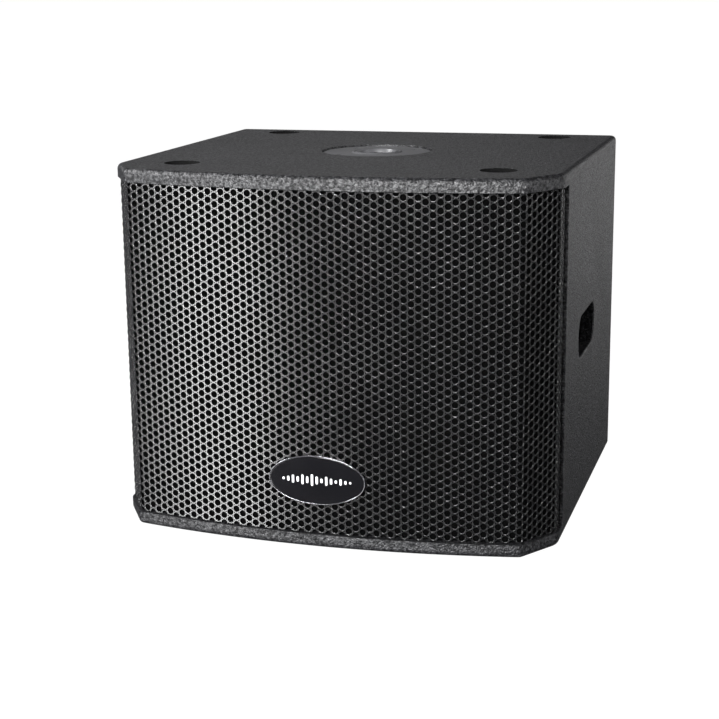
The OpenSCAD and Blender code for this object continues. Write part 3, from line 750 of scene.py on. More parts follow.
class BentSheet:
    """Maps a flat sheet onto the front: u runs along it, z is height, and w is depth into the cabinet."""

    def __init__(self, outline: FrontOutline, inset: float, end_y: float,
                 fillets: Tuple[float, float] = (4.0, 5.0)) -> None:
        """Samples the line that the sheet's face follows.

        Args:
            outline: The cabinet's outline.
            inset: How far the face lies inside it.
            end_y: Where the sheet ends at the sides.
            fillets: Outer bend radii at the two corners.
        """
        right = np.array(outline.right_half(inset, end_y, fillets, 60))
        self.points = np.vstack([right[:0:-1] * (-1, 1), right])
        steps = np.linalg.norm(np.diff(self.points, axis=0), axis=1)
        self.along = np.concatenate([[0.0], np.cumsum(steps)])
        self.along -= self.along[len(right) - 1]
        tangents = np.gradient(self.points, self.along, axis=0)
        self.tangents = tangents / np.linalg.norm(tangents, axis=1)[:, None]
        self.length = float(self.along[-1])

    def frame_at(self, u: np.ndarray) -> Tuple[np.ndarray, np.ndarray, np.ndarray]:
        """Places, tangents and inward normals at distances u from the middle."""
        at = np.stack([np.interp(u, self.along, self.points[:, k]) for k in (0, 1)], 1)
        tan = np.stack([np.interp(u, self.along, self.tangents[:, k]) for k in (0, 1)], 1)
        tan /= np.linalg.norm(tan, axis=1)[:, None]
        return at, tan, np.stack([-tan[:, 1], tan[:, 0]], 1)

    def bend(self, bm: bmesh.types.BMesh) -> np.ndarray:
        """Bends a mesh drawn in (u, z, w).

        Args:
            bm: The mesh. Its vertices move.

        Returns:
            The flat coordinates that the vertices had.
        """
        flat = np.array([v.co[:] for v in bm.verts])
        at, _, inward = self.frame_at(flat[:, 0])
        bent = at + inward * flat[:, 2:3]
        for vert, (x, y), z in zip(bm.verts, bent, flat[:, 1]):
            vert.co = (x, y, z)
        return flat


# ---- sub-assemblies ----


@dataclass
class Enclosure:
    """The painted box: top, bottom and side panels with rounded edges, and the boards inside."""

    outline: FrontOutline = field(default_factory=FrontOutline)
    edge: float = 6.0
    recess_r: float = 20.0
    recess_depth: float = 4.0
    plate_r: float = 65.0
    plate_depth: float = 5.0
    lip: float = 0.7
    slot: Tuple[float, float, float] = (118.0, 48.0, 20.0)
    slot_edge: float = 2.2

    def build(self) -> None:
        """Builds and dresses every board."""
        self.top_panel()
        self.bottom_panel()
        self.side_panels()
        dress("back_panel", PAINT)
        dress("baffle", STAINED_PLY)
        dress("grille_battens", STAINED_PLY)
        dress("window_brace", BARE_PLY)

    def rounded_board(self, flat: float, far: float, up: float) -> Tuple[bmesh.types.BMesh, List]:
        """The board's walls and its inner face, with the outer face left open.

        Args:
            flat: Height of the outer face.
            far: Height of the inner face.
            up: 1 where the outer face looks up and -1 where it looks down.

        Returns:
            The mesh and the edges round the open face.
        """
        bm = bmesh.new()
        steps = [k / 6 * math.pi / 2 for k in range(7)]
        rows = [(self.edge * (1 - math.sin(a)), flat - up * self.edge * (1 - math.cos(a))) for a in steps]
        rows.append((0.0, far))
        rings = [loop_at(bm, self.outline.whole(inset), z) for inset, z in rows]
        for outer, inner in zip(rings, rings[1:]):
            bmesh.ops.bridge_loops(bm, edges=outer + inner)
        bmesh.ops.contextual_create(bm, geom=rings[-1])
        return bm, rings[0]

    def top_panel(self) -> None:
        """Top board with its rounded edge, four stacking recesses darkened with painted shade, and the pole
        plate's recess.
        """
        low, high = span("top_panel")
        bm, rim = self.rounded_board(high.z, low.z, 1.0)
        pole = middle_of("pole_socket")
        feet = [middle_of("foot_" + corner) for corner in CORNERS]
        holes = [(p, self.recess_r, self.recess_depth) for p in feet]
        holes.append((pole, self.plate_r, self.plate_depth))
        edges = list(rim)
        loops = []
        for centre, r, depth in holes:
            ring = [(centre.x + x, centre.y + y) for x, y in circle(r + self.lip, 64)]
            loop = loop_at(bm, ring, high.z)
            loops.append((centre, r, depth, loop))
            edges += loop
        bmesh.ops.triangle_fill(bm, use_beauty=True, use_dissolve=False, edges=edges)
        for centre, r, depth, loop in loops:
            self.sink(bm, loop, centre, r, depth, high.z)
        bmesh.ops.recalc_face_normals(bm, faces=bm.faces)
        board = place(bm, "top_board", PAINT, stands_for=["top_panel"], angle=50)
        # The faces in the four stacking recesses take the darker recess finish: painted shade in the
        # recesses.
        board.data.materials.append(RECESS_SHADE.material())
        lid = max(vertex.co.z for vertex in board.data.vertices)
        for face in board.data.polygons:
            spot = face.center / MM
            inside = any(math.hypot(spot.x - p[0], spot.y - p[1]) < self.recess_r + 0.2 for p in feet)
            face.material_index = int(inside and -self.recess_depth - 0.5 < spot.z - lid / MM < -0.4)

    def sink(self, bm: bmesh.types.BMesh, loop: List, centre: Vector, r: float, depth: float,
             top: float) -> None:
        """Sinks a round recess below a loop in the top face.

        Args:
            bm: The board.
            loop: The loop's edges, wider than the recess by the lip.
            centre: The recess's centre.
            r: Its radius.
            depth: Its depth.
            top: Height of the top face.
        """
        now = r + self.lip
        for radius, z in ((r + 0.2, top - 0.2), (r, top - self.lip), (r, top - depth + 0.6),
                          (r - 0.2, top - depth + 0.15), (r - 0.8, top - depth)):
            made = bmesh.ops.extrude_edge_only(bm, edges=loop)["geom"]
            verts = [g for g in made if isinstance(g, bmesh.types.BMVert)]
            loop = [g for g in made if isinstance(g, bmesh.types.BMEdge)
                    and all(v in set(verts) for v in g.verts)]
            bmesh.ops.scale(bm, vec=(radius / now, radius / now, 1), verts=verts,
                            space=Matrix.Translation((-centre.x, -centre.y, 0)))
            for vert in verts:
                vert.co.z = z
            now = radius
        bmesh.ops.contextual_create(bm, geom=loop)

    def bottom_panel(self) -> None:
        """Bottom board with its rounded lower edge."""
        low, high = span("bottom_panel")
        bm, rim = self.rounded_board(low.z, high.z, -1.0)
        bmesh.ops.contextual_create(bm, geom=rim)
        bmesh.ops.recalc_face_normals(bm, faces=bm.faces)
        place(bm, "bottom_board", PAINT, stands_for=["bottom_panel"], angle=50)

    def side_panels(self) -> None:
        """Side boards with a rounded rear edge and a hand slot."""
        low, high = span("right_side_panel")
        pole = middle_of("pole_socket")
        r = self.outline.back_round
        plan = [(low.x, low.y), (high.x - 1.2, low.y), (high.x - 0.35, low.y + 0.35),
                (high.x, low.y + 1.2)]
        plan += [(high.x - r + r * math.cos(a), high.y - r + r * math.sin(a))
                 for a in (math.pi / 2 * k / 5 for k in range(6))] + [(low.x, high.y)]
        board = slab(plan, low.z, high.z)
        hole = slab(round_rect(*self.slot, 8), -30, 30)
        turn = Matrix.Rotation(math.pi / 2, 4, "Z") @ Matrix.Rotation(math.pi / 2, 4, "X")
        middle = shift((low.x + high.x) / 2, pole.y, (low.z + high.z) / 2)
        board = carved(board, moved(hole, middle @ turn))
        rim = [e for e in board.edges if all(
            abs(v.co.x - high.x) < 1e-3 and abs(v.co.y - pole.y) < self.slot[0] / 2 + 1
            and abs(v.co.z - middle.translation.z) < self.slot[1] / 2 + 1 for v in e.verts)
            and e.calc_length() < self.slot[0]]
        bmesh.ops.bevel(board, geom=rim, offset=self.slot_edge, offset_type="OFFSET", affect="EDGES",
                        segments=4, profile=0.5, material=-1, clamp_overlap=True)
        left = board.copy()
        moved(left, Matrix.Scale(-1, 4, (1, 0, 0)))
        bmesh.ops.reverse_faces(left, faces=left.faces)
        place(board, "right_side_board", PAINT, stands_for=["right_side_panel"], angle=50)
        place(left, "left_side_board", PAINT, stands_for=["left_side_panel"], angle=50)


@dataclass
class Grille:
    """Perforated steel sheet bent round the front, with tabs, screws and the foam behind it."""

    outline: FrontOutline = field(default_factory=FrontOutline)
    inset: float = 3.0
    thick: float = 1.5
    pitch: float = 8.945
    hole_r: float = 3.4
    hole_edge: float = 0.62
    edge_depth: float = 0.5
    end_y: float = -145.0
    seam_columns: int = 29
    foam_thick: float = 5.6
    foam_lumps: float = 0.15

    def build(self) -> None:
        """Builds the sheet in four lengths, the tabs, the screws and the foam."""
        low, high = span("grille")
        sheet = BentSheet(self.outline, self.inset, self.end_y)
        seam = self.seam_columns * self.pitch * math.sqrt(3) / 2
        end = sheet.length
        for name, start, stop in (("grille_bow_left", -seam, 0.0), ("grille_bow_right", 0.0, seam),
                                  ("grille_side_left", -end, -seam), ("grille_side_right", seam, end)):
            self.length_of(sheet, name, start, stop, low.z, high.z)
        self.tabs()
        self.foam()

    def cell(self) -> bmesh.types.BMesh:
        """One six-sided cell with a round hole whose edge is eased, drawn flat in (u, z, w)."""
        bm = bmesh.new()
        bmesh.ops.create_circle(bm, cap_ends=True, radius=self.pitch / math.sqrt(3), segments=6)
        bmesh.ops.subdivide_edges(bm, edges=bm.edges, cuts=1)
        for r, w in ((self.hole_r + self.hole_edge, 0.0), (self.hole_r, self.edge_depth)):
            face = min(bm.faces, key=lambda f: f.calc_center_median().length + f.calc_area() * 1e-6)
            bmesh.ops.inset_individual(bm, faces=[face], thickness=0.2, depth=0.0)
            for vert in face.verts:
                flat = Vector((vert.co.x, vert.co.y, 0)).normalized() * r
                vert.co = (flat.x, flat.y, w)
        bmesh.ops.delete(bm, geom=[face], context="FACES")
        return bm

    def length_of(self, sheet: BentSheet, name: str, start: float, stop: float, low: float,
                  high: float) -> None:
        """Builds one length of the perforated sheet.

        Args:
            sheet: The bend that it follows.
            name: The piece's name.
            start: Where it starts along the bend.
            stop: Where it stops.
            low: Its lower edge.
            high: Its upper edge.
        """
        step = self.pitch * math.sqrt(3) / 2
        first, last = math.floor(start / step - 0.5), math.ceil(stop / step + 0.5)
        rows = math.ceil((high - low) / self.pitch) + 2
        base = (low + high) / 2 - self.pitch * rows / 2
        places = [(step * (c + 0.5), base + self.pitch * (k + 0.5 * (c % 2)))
                  for c in range(first, last) for k in range(rows + 1)]
        bm = copies(self.cell(), [shift(u, z, 0) for u, z in places])
        bmesh.ops.remove_doubles(bm, verts=bm.verts, dist=0.02)
        for co, no in (((start, 0, 0), (-1, 0, 0)), ((stop, 0, 0), (1, 0, 0)),
                       ((0, low, 0), (0, -1, 0)), ((0, high, 0), (0, 1, 0))):
            halved(bm, co, no)
        for vert in extruded(bm, bm.faces[:]):
            vert.co.z = self.thick
        flat = sheet.bend(bm)
        if bm.calc_volume(signed=True) < 0:
            bmesh.ops.reverse_faces(bm, faces=bm.faces)
        piece = place(bm, name, COAT, stands_for=["grille"], angle=180, weighted=False)
        self.ease_holes(piece, sheet, flat, np.array(places))

    def ease_holes(self, piece: bpy.types.Object, sheet: BentSheet, flat: np.ndarray,
                   places: np.ndarray) -> None:
        """Sets normals so that the webs look flat and the holes' edges round.

        Args:
            piece: The bent length.
            sheet: The bend that it follows.
            flat: Its vertices before bending.
            places: The holes' centres.
        """
        _, tangent, inward = sheet.frame_at(flat[:, 0])
        normals = np.column_stack([-inward, np.zeros(len(flat))])
        normals[flat[:, 2] > self.thick - 1e-3] *= -1
        wall = (flat[:, 2] > 1e-3) & (flat[:, 2] < self.thick - 1e-3)
        step = self.pitch * math.sqrt(3) / 2
        column = np.floor(flat[wall, 0] / step)
        height = places[0, 1] - self.pitch * 0.5 * (round(places[0, 0] / step - 0.5) % 2)
        row = np.round((flat[wall, 1] - height) / self.pitch - 0.5 * (column % 2))
        towards = np.column_stack([step * (column + 0.5),
                                   height + self.pitch * (row + 0.5 * (column % 2))])
        towards -= flat[wall, :2]
        towards /= np.maximum(np.linalg.norm(towards, axis=1), 1e-6)[:, None]
        normals[wall] = np.column_stack([tangent[wall] * towards[:, :1], towards[:, 1]])
        piece.data.normals_split_custom_set_from_vertices([tuple(n) for n in normals])

    def tabs(self) -> None:
        """Folded tabs that hold the sheet's ends to the baffle, with their screws."""
        low, high = span("grille_screws")
        parts, heads = [], []
        for side in (-1, 1):
            for z in (low.z + 2.4, high.z - 2.4):
                lug = slab(round_rect(1.5, 8.4, 0.6, 3), z - 4.5, z + 4.5, 0.4, 2, True)
                parts.append(moved(lug, shift(side * 246.8, -142.5, 0)))
                step = slab([(-2.2, -0.7), (2.6, -0.7), (2.6, 0.7), (-2.2, 0.7)], z - 4.5, z + 4.5,
                            0.3, 2, True)
                parts.append(moved(step, shift(side * 247.4, -145.6, 0)))
                head = moved(cross_head(2.4, 1.6), shift(side * 247.5, -141.3, z)
                             @ Matrix.Rotation(side * math.pi / 2, 4, "Y"))
                heads.append(head)
        place(joined(parts), "grille_tabs", COAT, stands_for=["grille"])
        place(joined(heads), "grille_screw_heads", DARK_SCREW, stands_for=["grille_screws"])

    def foam(self) -> None:
        """Sheet of open foam pressed against the back of the grille."""
        low, high = span("grille_foam")
        sheet = BentSheet(self.outline, self.inset + self.thick + 0.35, self.end_y)
        reach = float(np.interp(high.y, sheet.points[-60:, 1], sheet.along[-60:]))
        bm = bmesh.new()
        bmesh.ops.create_grid(bm, x_segments=110, y_segments=70, size=0.5)
        bmesh.ops.scale(bm, vec=(2 * reach, high.z - low.z - 1, 1), verts=bm.verts)
        bmesh.ops.translate(bm, verts=bm.verts, vec=(0, (low.z + high.z) / 2, 0))
        for vert in extruded(bm, bm.faces[:]):
            vert.co.z = self.foam_thick
        dice = random.Random(7)
        for vert in bm.verts:
            vert.co.z += dice.uniform(0.0, self.foam_lumps)
        sheet.bend(bm)
        bmesh.ops.recalc_face_normals(bm, faces=bm.faces)
        piece = place(bm, "grille_foam_sheet", FOAM, stands_for=["grille_foam"], angle=60, weighted=False)


@dataclass
class Badge:
    """Oval badge on the grille: a polished rim round a gloss plate with a plain printed mark."""

    wide: float = 110.0
    high: float = 56.0
    rim: float = 1.75
    mark_wide: float = 76.0
    bars: Tuple[float, ...] = (3.0, 5.5, 9.0, 6.0, 11.0, 7.5, 13.0, 9.0, 5.0, 10.0, 6.5, 3.5, 7.0, 4.0,
                               2.5)

    def build(self) -> None:
        """Builds the rim, the plate and the mark."""
        low, high = span("badge_rim")
        centre = (low + high) / 2
        front = shift(centre.x, low.y, centre.z) @ OUT_OF_FRONT
        ring = bmesh.new()
        loops = [loop_at(ring, oval(self.wide - 2 * inset, self.high - 2 * inset, 128), z)
                 for inset, z in ((0.0, -2.3), (0.0, -0.8), (0.25, -0.25), (0.8, 0.0), (1.3, -0.2),
                                  (self.rim, -0.7), (self.rim, -2.3))]
        for a, b in zip(loops, loops[1:] + loops[:1]):
            bmesh.ops.bridge_loops(ring, edges=a + b)
        bmesh.ops.recalc_face_normals(ring, faces=ring.faces)
        place(moved(ring, front), "badge_rim_ring", POLISHED, stands_for=["badge_rim"], angle=60)
        inner = oval(self.wide - 2 * self.rim - 0.1, self.high - 2 * self.rim - 0.1, 128)
        plate = slab(inner, -2.3, -0.55, 0.3, 2)
        place(moved(plate, front), "badge_gloss_plate", BADGE_GLOSS, stands_for=["badge_plate"])
        step = self.mark_wide / (len(self.bars) - 1)
        marks = [moved(slab(round_rect(2.6, tall, 1.25, 4), -0.6, -0.42, 0.08, 2),
                       shift(k * step - self.mark_wide / 2, 0, 0)) for k, tall in enumerate(self.bars)]
        place(moved(joined(marks), front), "badge_mark", BADGE_MARK, stands_for=["badge_plate"])


@dataclass
class PoleMount:
    """Cast plate and socket in the top, with a raised collar and four screws."""

    screw: float = 36.0
    ribs: int = 36

    def build(self) -> None:
        """Builds the casting and its screws."""
        low, high = span("pole_socket")
        centre, face, lift = (low + high) / 2, high.z - 1.2, high.z
        r = (high.x - low.x) / 2
        profile = [(0, low.z), (23, low.z), (23, face - 3), (r - 0.4, face - 3), (r, face - 2.6),
                   (r, face - 0.8), (r - 0.25, face - 0.25), (r - 0.8, face), (r - 6.0, face),
                   (r - 6.6, face + 0.25), (r - 8.0, face + 0.25), (r - 8.6, face), (30.4, face),
                   (29.5, face + 0.3), (29.0, face + 0.85), (28.4, lift), (26.6, lift),
                   (26.2, lift - 0.45), (25.2, lift - 0.45), (24.8, lift), (23.4, lift),
                   (22.7, lift - 0.2), (22.4, lift - 0.8),
                   (18, 405), (18, 322), (0, 322)]
        body = lathe(profile, 96)
        spots = [(x * self.screw, y * self.screw) for x in (-1, 1) for y in (-1, 1)]
        sinks = copies(lathe([(0, -4), (2.2, -4), (2.2, -1.4), (4.9, 0.3), (4.9, 2), (0, 2)], 32),
                       [shift(x, y, face) for x, y in spots])
        ribs = copies(slab(round_rect(1.0, 2.4, 0.45, 3), 0, 0.55, 0.2, 2),
                      [Matrix.Rotation(2 * math.pi * k / self.ribs, 4, "Z")
                       @ shift(0, 27.5, lift - 0.55) for k in range(self.ribs)])
        whole = joined([carved(body, sinks), ribs])
        place(moved(whole, shift(centre.x, centre.y, 0)), "pole_casting", CASTING,
              stands_for=["pole_socket"])
        heads = copies(cross_head(4.3, 1.5, 0.6), [shift(centre.x + x, centre.y + y, face - 1.55)
                                                  @ Matrix.Rotation(0.4 + x * 0.03 + y * 0.01, 4, "Z")
                                                  for x, y in spots])
        place(heads, "pole_screw_heads", DARK_SCREW, stands_for=["pole_screws"])


@dataclass
class Feet:
    """Rubber feet with a ribbed wall, and the screws and washers in them."""

    top_r: float = 18.0

    def build(self) -> None:
        """Builds the four feet and their screws."""
        ends = []
        for name in CORNERS:
            low, high = span("foot_" + name)
            centre = (low + high) / 2
            r, h = self.top_r, high.z
            profile = [(2.65, 4), (7.5, 4), (7.5, 0.6), (8.1, 0), (r - 3.2, 0), (r - 2.3, 0.4),
                       (r - 1.9, 1.3)]
            for z in (2.8, 5.0, 7.2):
                profile += [(r - 1.7 + z * 0.15, z - 0.5), (r - 2.3 + z * 0.15, z),
                            (r - 1.7 + z * 0.15, z + 0.5)]
            profile += [(r - 0.2, h - 0.6), (r - 0.5, h), (2.65, h)]
            place(moved(lathe(profile, 64), shift(centre.x, centre.y, 0)), "rubber_foot_" + name, RUBBER,
                  stands_for=["foot_" + name], angle=50)
            washer = lathe([(2.6, 0), (6.5, 0), (6.5, -0.8), (6.2, -1), (2.6, -1)], 32)
            head = moved(cross_head(4.2, 1.9), Matrix.Rotation(math.pi, 4, "X") @ shift(0, 0, 0.9))
            ends.append(moved(joined([washer, head]), shift(centre.x, centre.y, 4)))
        place(joined(ends), "foot_screw_heads", ZINC, stands_for=["foot_screws"])


@dataclass
class Interior:
    """What the cabinet holds: the woofer, the ports, the hand cups, the wadding and the cable."""

    ring_sectors: int = 8
    finishes: Tuple[Tuple[Finish, str], ...] = (
        (MOULDING, "left_handle_cup right_handle_cup left_port right_port phase_switch_body"),
        (ZINC, "handle_screws woofer_top_plate woofer_yoke potentiometers"),
        (CASTING, "woofer_basket"), (RUBBER, "woofer_gasket"), (PULP, "woofer_cone dust_cap"),
        (COPPER, "voice_coil transformer"), (FERRITE, "woofer_magnet"), (TIN, "woofer_terminals"),
        (DARK_SCREW, "woofer_screws"), (CABLE_JACKET, "speaker_cable"), (MILL_SHEET, "amp_tub"),
        (SOLDER_MASK, "circuit_board"), (SLEEVE, "capacitors"))

    def build(self) -> None:
        """Dresses the inner pieces, and builds the flexing rings and the wadding."""
        for finish, nodes in self.finishes:
            for node in nodes.split():
                dress(node, finish)
        self.flexing_ring("woofer_surround", RUBBER)
        self.flexing_ring("woofer_spider", SPIDER_CLOTH)
        self.wadding()

    def flexing_ring(self, node: str, finish: Finish) -> None:
        """A ring that flexes between the basket and the cone, cut into sectors.

        Args:
            node: The CAD node that the ring replaces.
            finish: Its finish.
        """
        centre = middle_of(node)
        half = math.pi / self.ring_sectors
        for k in range(self.ring_sectors):
            turn = 2 * half * k
            bm = cad_copy(node, 2e-6)
            for side in (-1, 1):
                edge = turn + side * half
                across = Vector((-math.sin(edge) * side, 0.0, math.cos(edge) * side))
                halved(bm, centre, across)
                bmesh.ops.holes_fill(bm, edges=[e for e in bm.edges if e.is_boundary], sides=0)
            piece = place(bm, f"{node}_{k + 1}", finish, stands_for=[node], weighted=False, rides=False)
            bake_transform(piece)

    def wadding(self) -> None:
        """Four wadding pads on the floor and the ceiling, crowned and lumpy."""
        low, high = span("damping_wool")
        brace_low, brace_high = span("window_brace")
        dice = random.Random(3)
        for level, z in (("floor", low.z + 6), ("ceiling", high.z - 6)):
            for zone, near, far in (("front", low.y, brace_low.y - 2),
                                    ("rear", brace_high.y + 2, high.y)):
                bm = bmesh.new()
                bmesh.ops.create_cube(bm, size=1)
                bmesh.ops.scale(bm, vec=(high.x - low.x - 1, far - near - 1, 11.4), verts=bm.verts)
                for axis, least, cuts in ((0, 1, 36), (1, 40, 14)):
                    crossing = [e for e in bm.edges
                                if abs(e.verts[0].co[axis] - e.verts[1].co[axis]) > least]
                    bmesh.ops.subdivide_edges(bm, edges=crossing, cuts=cuts, use_grid_fill=True)
                half = Vector(((high.x - low.x) / 2, (far - near) / 2, 6.0))
                for vert in bm.verts:
                    u, v = abs(vert.co.x) / half.x, abs(vert.co.y) / half.y
                    crown = 0.55 + 0.45 * (1 - u ** 8) * (1 - v ** 6)
                    vert.co.z *= crown * dice.uniform(0.9, 1.0)
                    vert.co.x *= 1 - 0.006 * dice.random()
                bmesh.ops.recalc_face_normals(bm, faces=bm.faces)
                centre = shift(0, (near + far) / 2, z)
                pad = place(moved(bm, centre), f"wadding_{level}_{zone}", WADDING,
                            stands_for=["damping_wool"], angle=80, weighted=False)


@dataclass
class Amplifier:
    """The panel in the back with its sink, sockets, controls and switch."""

    inputs: Tuple[Tuple[float, float], ...] = ((105.0, 244.0), (65.0, 244.0))
    outputs: Tuple[Tuple[float, float], ...] = ((105.0, 189.0), (65.0, 189.0))
    contact_r: float = 3.6
    flutes: int = 20
    ticks: int = 11
    dial: float = 150.0

    def build(self) -> None:
        """Builds the panel's fittings."""
        dress("amp_panel", PANEL_COAT)
        softened("heatsink", ANODISED, 0.5)
        softened("mains_inlet", GLOSS_MOULDING, 0.5)
        for node, finish, width in (("power_rocker", ROCKER_RED, 0.5), ("fuse_cap", GLOSS_MOULDING, 0.6),
                                    ("left_release_tab", ZINC, 0.4), ("right_release_tab", ZINC, 0.4),
                                    ("phase_slider", SLIDER_WHITE, 0.4)):
            softened(node, finish, width, node)
        self.sockets()
        for node in ("level_knob", "crossover_knob"):
            self.knob(node)
        self.screws()
        self.lenses()

    def on_panel(self, x: float, z: float) -> Matrix:
        """Puts a drawing with +Z out and +Y up on the panel at x and z."""
        return shift(x, span("amp_panel")[1].y, z) @ OUT_OF_BACK

    def pins(self, r: float, low: float, high: float) -> List[bmesh.types.BMesh]:
        """Three round pins in a triangle."""
        turns = [math.radians(a) for a in (90, 210, 330)]
        return [moved(slab(circle(r, 16), low, high, r * 0.3, 2),
                      shift(self.contact_r * math.cos(a), -self.contact_r * math.sin(a), 0)) for a in turns]

    def sockets(self) -> None:
        """Three-pin sockets: plated flanges, black inserts, contacts and flange screws."""
        for node, spots, female in (("input_sockets", self.inputs, True),
                                    ("output_sockets", self.outputs, False)):
            plate = slab(round_rect(26, 31, 3.5), 0.02, 2.0, 0.5, 2)
            inner = 9.7 if female else 9.4
            plate = carved(plate, slab(circle(inner, 40), -1, 3))
            rim = lathe([(inner - 0.02, -24), (11.4, -24), (11.4, 2.0), (11.0, 2.6), (10.2, 2.6),
                         (inner - 0.02, 2.1)], 48)
            shells = joined([plate, rim])
            if female:
                core = carved(slab(circle(7.5, 40), -24, 1.2, 0.5, 2), *self.pins(1.3, -12, 3))
                back = lathe([(0, -24), (9.6, -24), (9.6, -12), (0, -12)], 40)
                contacts = joined(self.pins(1.25, -23, -9.5))
            else:
                core = lathe([(0, -24), (9.3, -24), (9.3, 1.0), (8.9, 1.4), (8.4, 1.4), (8.2, 1.0),
                              (8.2, -14), (0, -14)], 40)
                back = bmesh.new()
                contacts = joined(self.pins(1.2, -14.2, -2.0))
            body = joined([core, back])
            screw = cross_head(1.9, 0.9, 0.6)
            heads = copies(screw, [shift(x, y, 1.95) for x, y in ((-9.8, 12.2), (9.8, -12.2))])
            places = [self.on_panel(*spot) for spot in spots]
            for part, title, finish in ((shells, "shells", ZINC), (body, "inserts", GLOSS_MOULDING),
                                        (contacts, "contacts", TIN),
                                        (heads, "flange_screws", DARK_SCREW)):
                place(copies(part, places), f"{node}_{title}", finish, stands_for=[node])

    def knob(self, node: str) -> None:
        """A fluted knob with a white pointer, and the dial's ticks on the panel."""
        centre = middle_of(node)
        star = []
        for k in range(self.flutes * 6):
            a = 2 * math.pi * k / (self.flutes * 6)
            r = 10.3 + 0.45 * math.cos(self.flutes * a)
            star.append((r * math.cos(a), r * math.sin(a)))
        skirt = slab(star, 1.0, 14.6, 0.9, 3)
        skirt_foot = lathe([(0, 0.95), (10.95, 0.95), (10.95, 2.4), (10.6, 2.8), (0, 2.8)], 64)
        shaft = slab(circle(3.0, 24), -13.5, 1.2)
        spot = self.on_panel(centre.x, centre.z)
        place(moved(joined([skirt, skirt_foot, shaft]), spot), node + "_fluted", MOULDING, node, [node])
        pointer = slab(round_rect(1.1, 8.4, 0.5, 4), 14.5, 14.85, 0.12, 2)
        place(moved(pointer, spot @ shift(0, 5.4, 0)), node + "_pointer", BADGE_MARK, node, slot=node)
        marks = []
        for k in range(self.ticks):
            turn = math.radians(self.dial * (2 * k / (self.ticks - 1) - 1))
            length = 3.4 if k % 5 == 0 else 2.2
            tick = slab([(-0.35, 0), (0.35, 0), (0.35, length), (-0.35, length)], 0.0, 0.12)
            marks.append(moved(tick, Matrix.Rotation(turn, 4, "Z") @ shift(0, 13.6, 0)))
        place(moved(joined(marks), spot), node + "_dial_ticks", BADGE_MARK, slot="amp_panel")

    def screws(self) -> None:
        """Six panel screws with cross heads."""
        low, high = span("amp_screws")
        spots = [(x, z) for x in (low.x + 4, 0.0, high.x - 4) for z in (low.z + 4, high.z - 4)]
        dice = random.Random(11)
        heads = joined([moved(cross_head(4.0, 2.4, 0.58), self.on_panel(x, z)
                              @ Matrix.Rotation(dice.uniform(0, 1.5), 4, "Z")) for x, z in spots])
        place(heads, "amp_screw_heads", DARK_SCREW, stands_for=["amp_screws"])

    def lenses(self) -> None:
        """Three indicator lenses, each in a black bezel."""
        low, high = span("indicator_lenses")
        z = (low.z + high.z) / 2
        spots = [self.on_panel(x, z) for x in (low.x + 2.5, (low.x + high.x) / 2, high.x - 2.5)]
        dome = [(0, -5.9), (2.45, -5.9), (2.45, 1.0)]
        dome += [(2.45 * math.cos(a), 1.0 + 2.45 * math.sin(a)) for a in (0.3, 0.6, 0.9, 1.2, 1.4)]
        place(copies(lathe(dome + [(0, 3.45)], 32), spots), "indicator_domes", LENS_GREEN,
              stands_for=["indicator_lenses"])
        bezel = lathe([(2.5, 0), (4.2, 0), (4.2, 0.5), (3.9, 0.9), (2.9, 0.9), (2.5, 0.5)], 40)
        place(copies(bezel, spots), "indicator_bezels", GLOSS_MOULDING, slot="indicator_lenses")


# ---- camera, light and floor ----


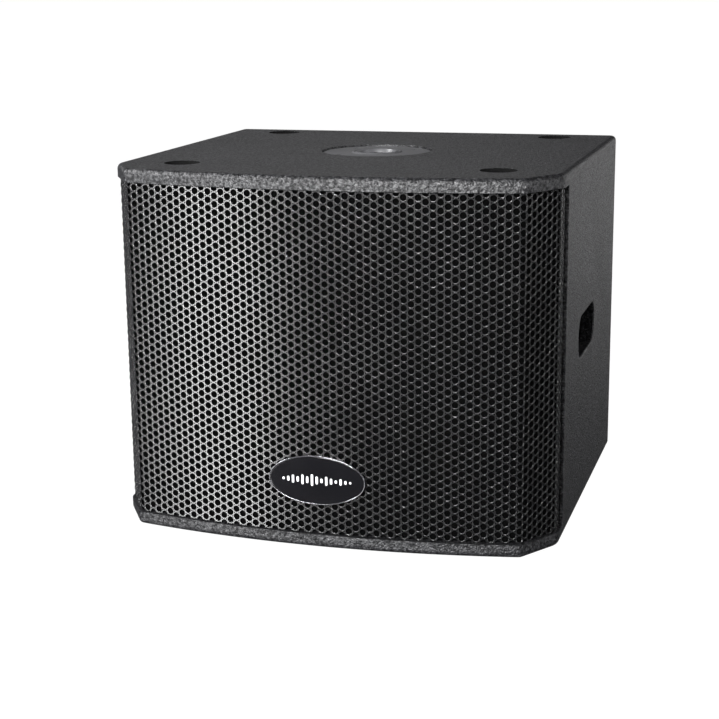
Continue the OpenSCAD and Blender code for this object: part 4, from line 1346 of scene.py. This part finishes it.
@dataclass
class Studio:
    """Pale floor, soft lights and the camera."""

    camera_at: Tuple[float, float, float] = (0.5143, -1.8000, 0.6221)
    yaw: float = 16.557
    pitch: float = 13.691
    roll: float = -0.63
    lens: float = 79.5
    floor_glow: float = 1.0

    def build(self) -> None:
        """Builds everything round the object."""
        self.camera()
        self.world()
        self.floor()
        self.lights()

    def camera(self) -> None:
        """A long lens from the front right, a little above."""
        data = bpy.data.cameras.new("camera")
        data.lens = self.lens
        data.sensor_width = 36.0
        data.clip_end = 60.0
        eye = added("camera", data)
        a, e, r = (math.radians(v) for v in (self.yaw, self.pitch, self.roll))
        back = direction(a, e)
        right = Vector((math.cos(a), math.sin(a), 0))
        up = back.cross(right)
        tilted = right * math.cos(r) + up * math.sin(r)
        raised = up * math.cos(r) - right * math.sin(r)
        eye.matrix_world = Matrix.Translation(self.camera_at) @ Matrix(
            (tilted, raised, back)).transposed().to_4x4()
        bpy.context.scene.camera = eye

    def world(self) -> None:
        """Even, dim light from all round, and a pale background."""
        world = bpy.data.worlds.new("studio")
        world.use_nodes = True
        tree = world.node_tree
        background = tree.nodes["Background"]
        background.inputs["Strength"].default_value = 1.0
        path = place_node(tree, "LightPath")
        tone = place_node(tree, "Mix", data_type="RGBA", i0=path.outputs["Is Camera Ray"])
        tone.inputs[6].default_value = (0.07, 0.07, 0.073, 1.0)
        tone.inputs[7].default_value = (1.0, 1.0, 1.0, 1.0)
        tree.links.new(tone.outputs[2], background.inputs["Color"])
        bpy.context.scene.world = world
        bpy.context.scene.view_settings.view_transform = "Standard"

    def floor(self) -> None:
        """A wide pale floor that the gloss doesn't mirror, so that the soft boxes reach below it."""
        bm = bmesh.new()
        bmesh.ops.create_grid(bm, x_segments=2, y_segments=2, size=40.0)
        mesh = bpy.data.meshes.new("floor")
        bm.to_mesh(mesh)
        bm.free()
        ground = added("floor", mesh)
        surface = Finish("studio_floor", (0.035, 0.035, 0.035), rough=0.9, specular=0.1, scale=60.0,
                         depth=0.05, flecks=0.0, tone=0.01, marks=0.0).material()
        shader = surface.node_tree.nodes["Principled BSDF"]
        path = place_node(surface.node_tree, "LightPath")
        glow = place_node(surface.node_tree, "Math", operation="MULTIPLY", i0=path.outputs["Is Camera Ray"],
                          i1=self.floor_glow)
        surface.node_tree.links.new(glow.outputs[0], shader.inputs["Emission Strength"])
        shader.inputs["Emission Color"].default_value = (1.0, 1.0, 1.0, 1.0)
        mesh.materials.append(surface)
        ground.visible_glossy = False
        ground.visible_shadow = False

    def soft_box(self, name: str, azimuth: float, elevation: float, distance: float,
                 size: Tuple[float, float], power: float) -> None:
        """An area light that looks at the object's middle.

        Args:
            name: The light's name.
            azimuth: Degrees round from the front, to the right.
            elevation: Degrees above the horizon.
            distance: Metres from the middle.
            size: Its width and height in metres.
            power: Its power in watts.
        """
        data = bpy.data.lights.new(name, "AREA")
        data.shape = "RECTANGLE"
        data.size, data.size_y = size
        data.energy = power
        box = added(name, data)
        out = direction(math.radians(azimuth), math.radians(elevation))
        box.visible_camera = False
        box.location = Vector((0, 0, 0.2)) + out * distance
        box.rotation_euler = out.to_track_quat("Z", "Y").to_euler()

    def lights(self) -> None:
        """A tall soft box at the front left, smaller ones above, and others behind and at the right."""
        for light in (("left_front_box", -34.0, -12.0, 2.4, (0.8, 1.6), 46.0),
                      ("front_high_box", -4.0, 17.0, 2.4, (0.9, 0.3), 105.0),
                      ("left_high_box", -76.0, 34.0, 2.4, (0.6, 0.6), 60.0),
                      ("top_back_box", 200.0, 34.0, 3.0, (1.6, 0.6), 4.0),
                      ("side_back_box", 150.0, 4.0, 3.0, (0.8, 1.4), 8.0),
                      ("back_low_box", 202.0, -18.0, 3.0, (1.6, 1.0), 60.0),
                      ("right_box", 84.0, 12.0, 2.6, (0.5, 1.0), 24.0)):
            self.soft_box(*light)


def main() -> None:
    """Builds the looks in order."""
    logging.basicConfig(level=logging.INFO, format="%(name)s %(message)s")
    Studio().build()
    for assembly in (Enclosure(), Grille(), Badge(), PoleMount(), Feet(), Interior(), Amplifier()):
        LOG.info("building %s", type(assembly).__name__)
        assembly.build()


if __name__ == "__main__":
    main()
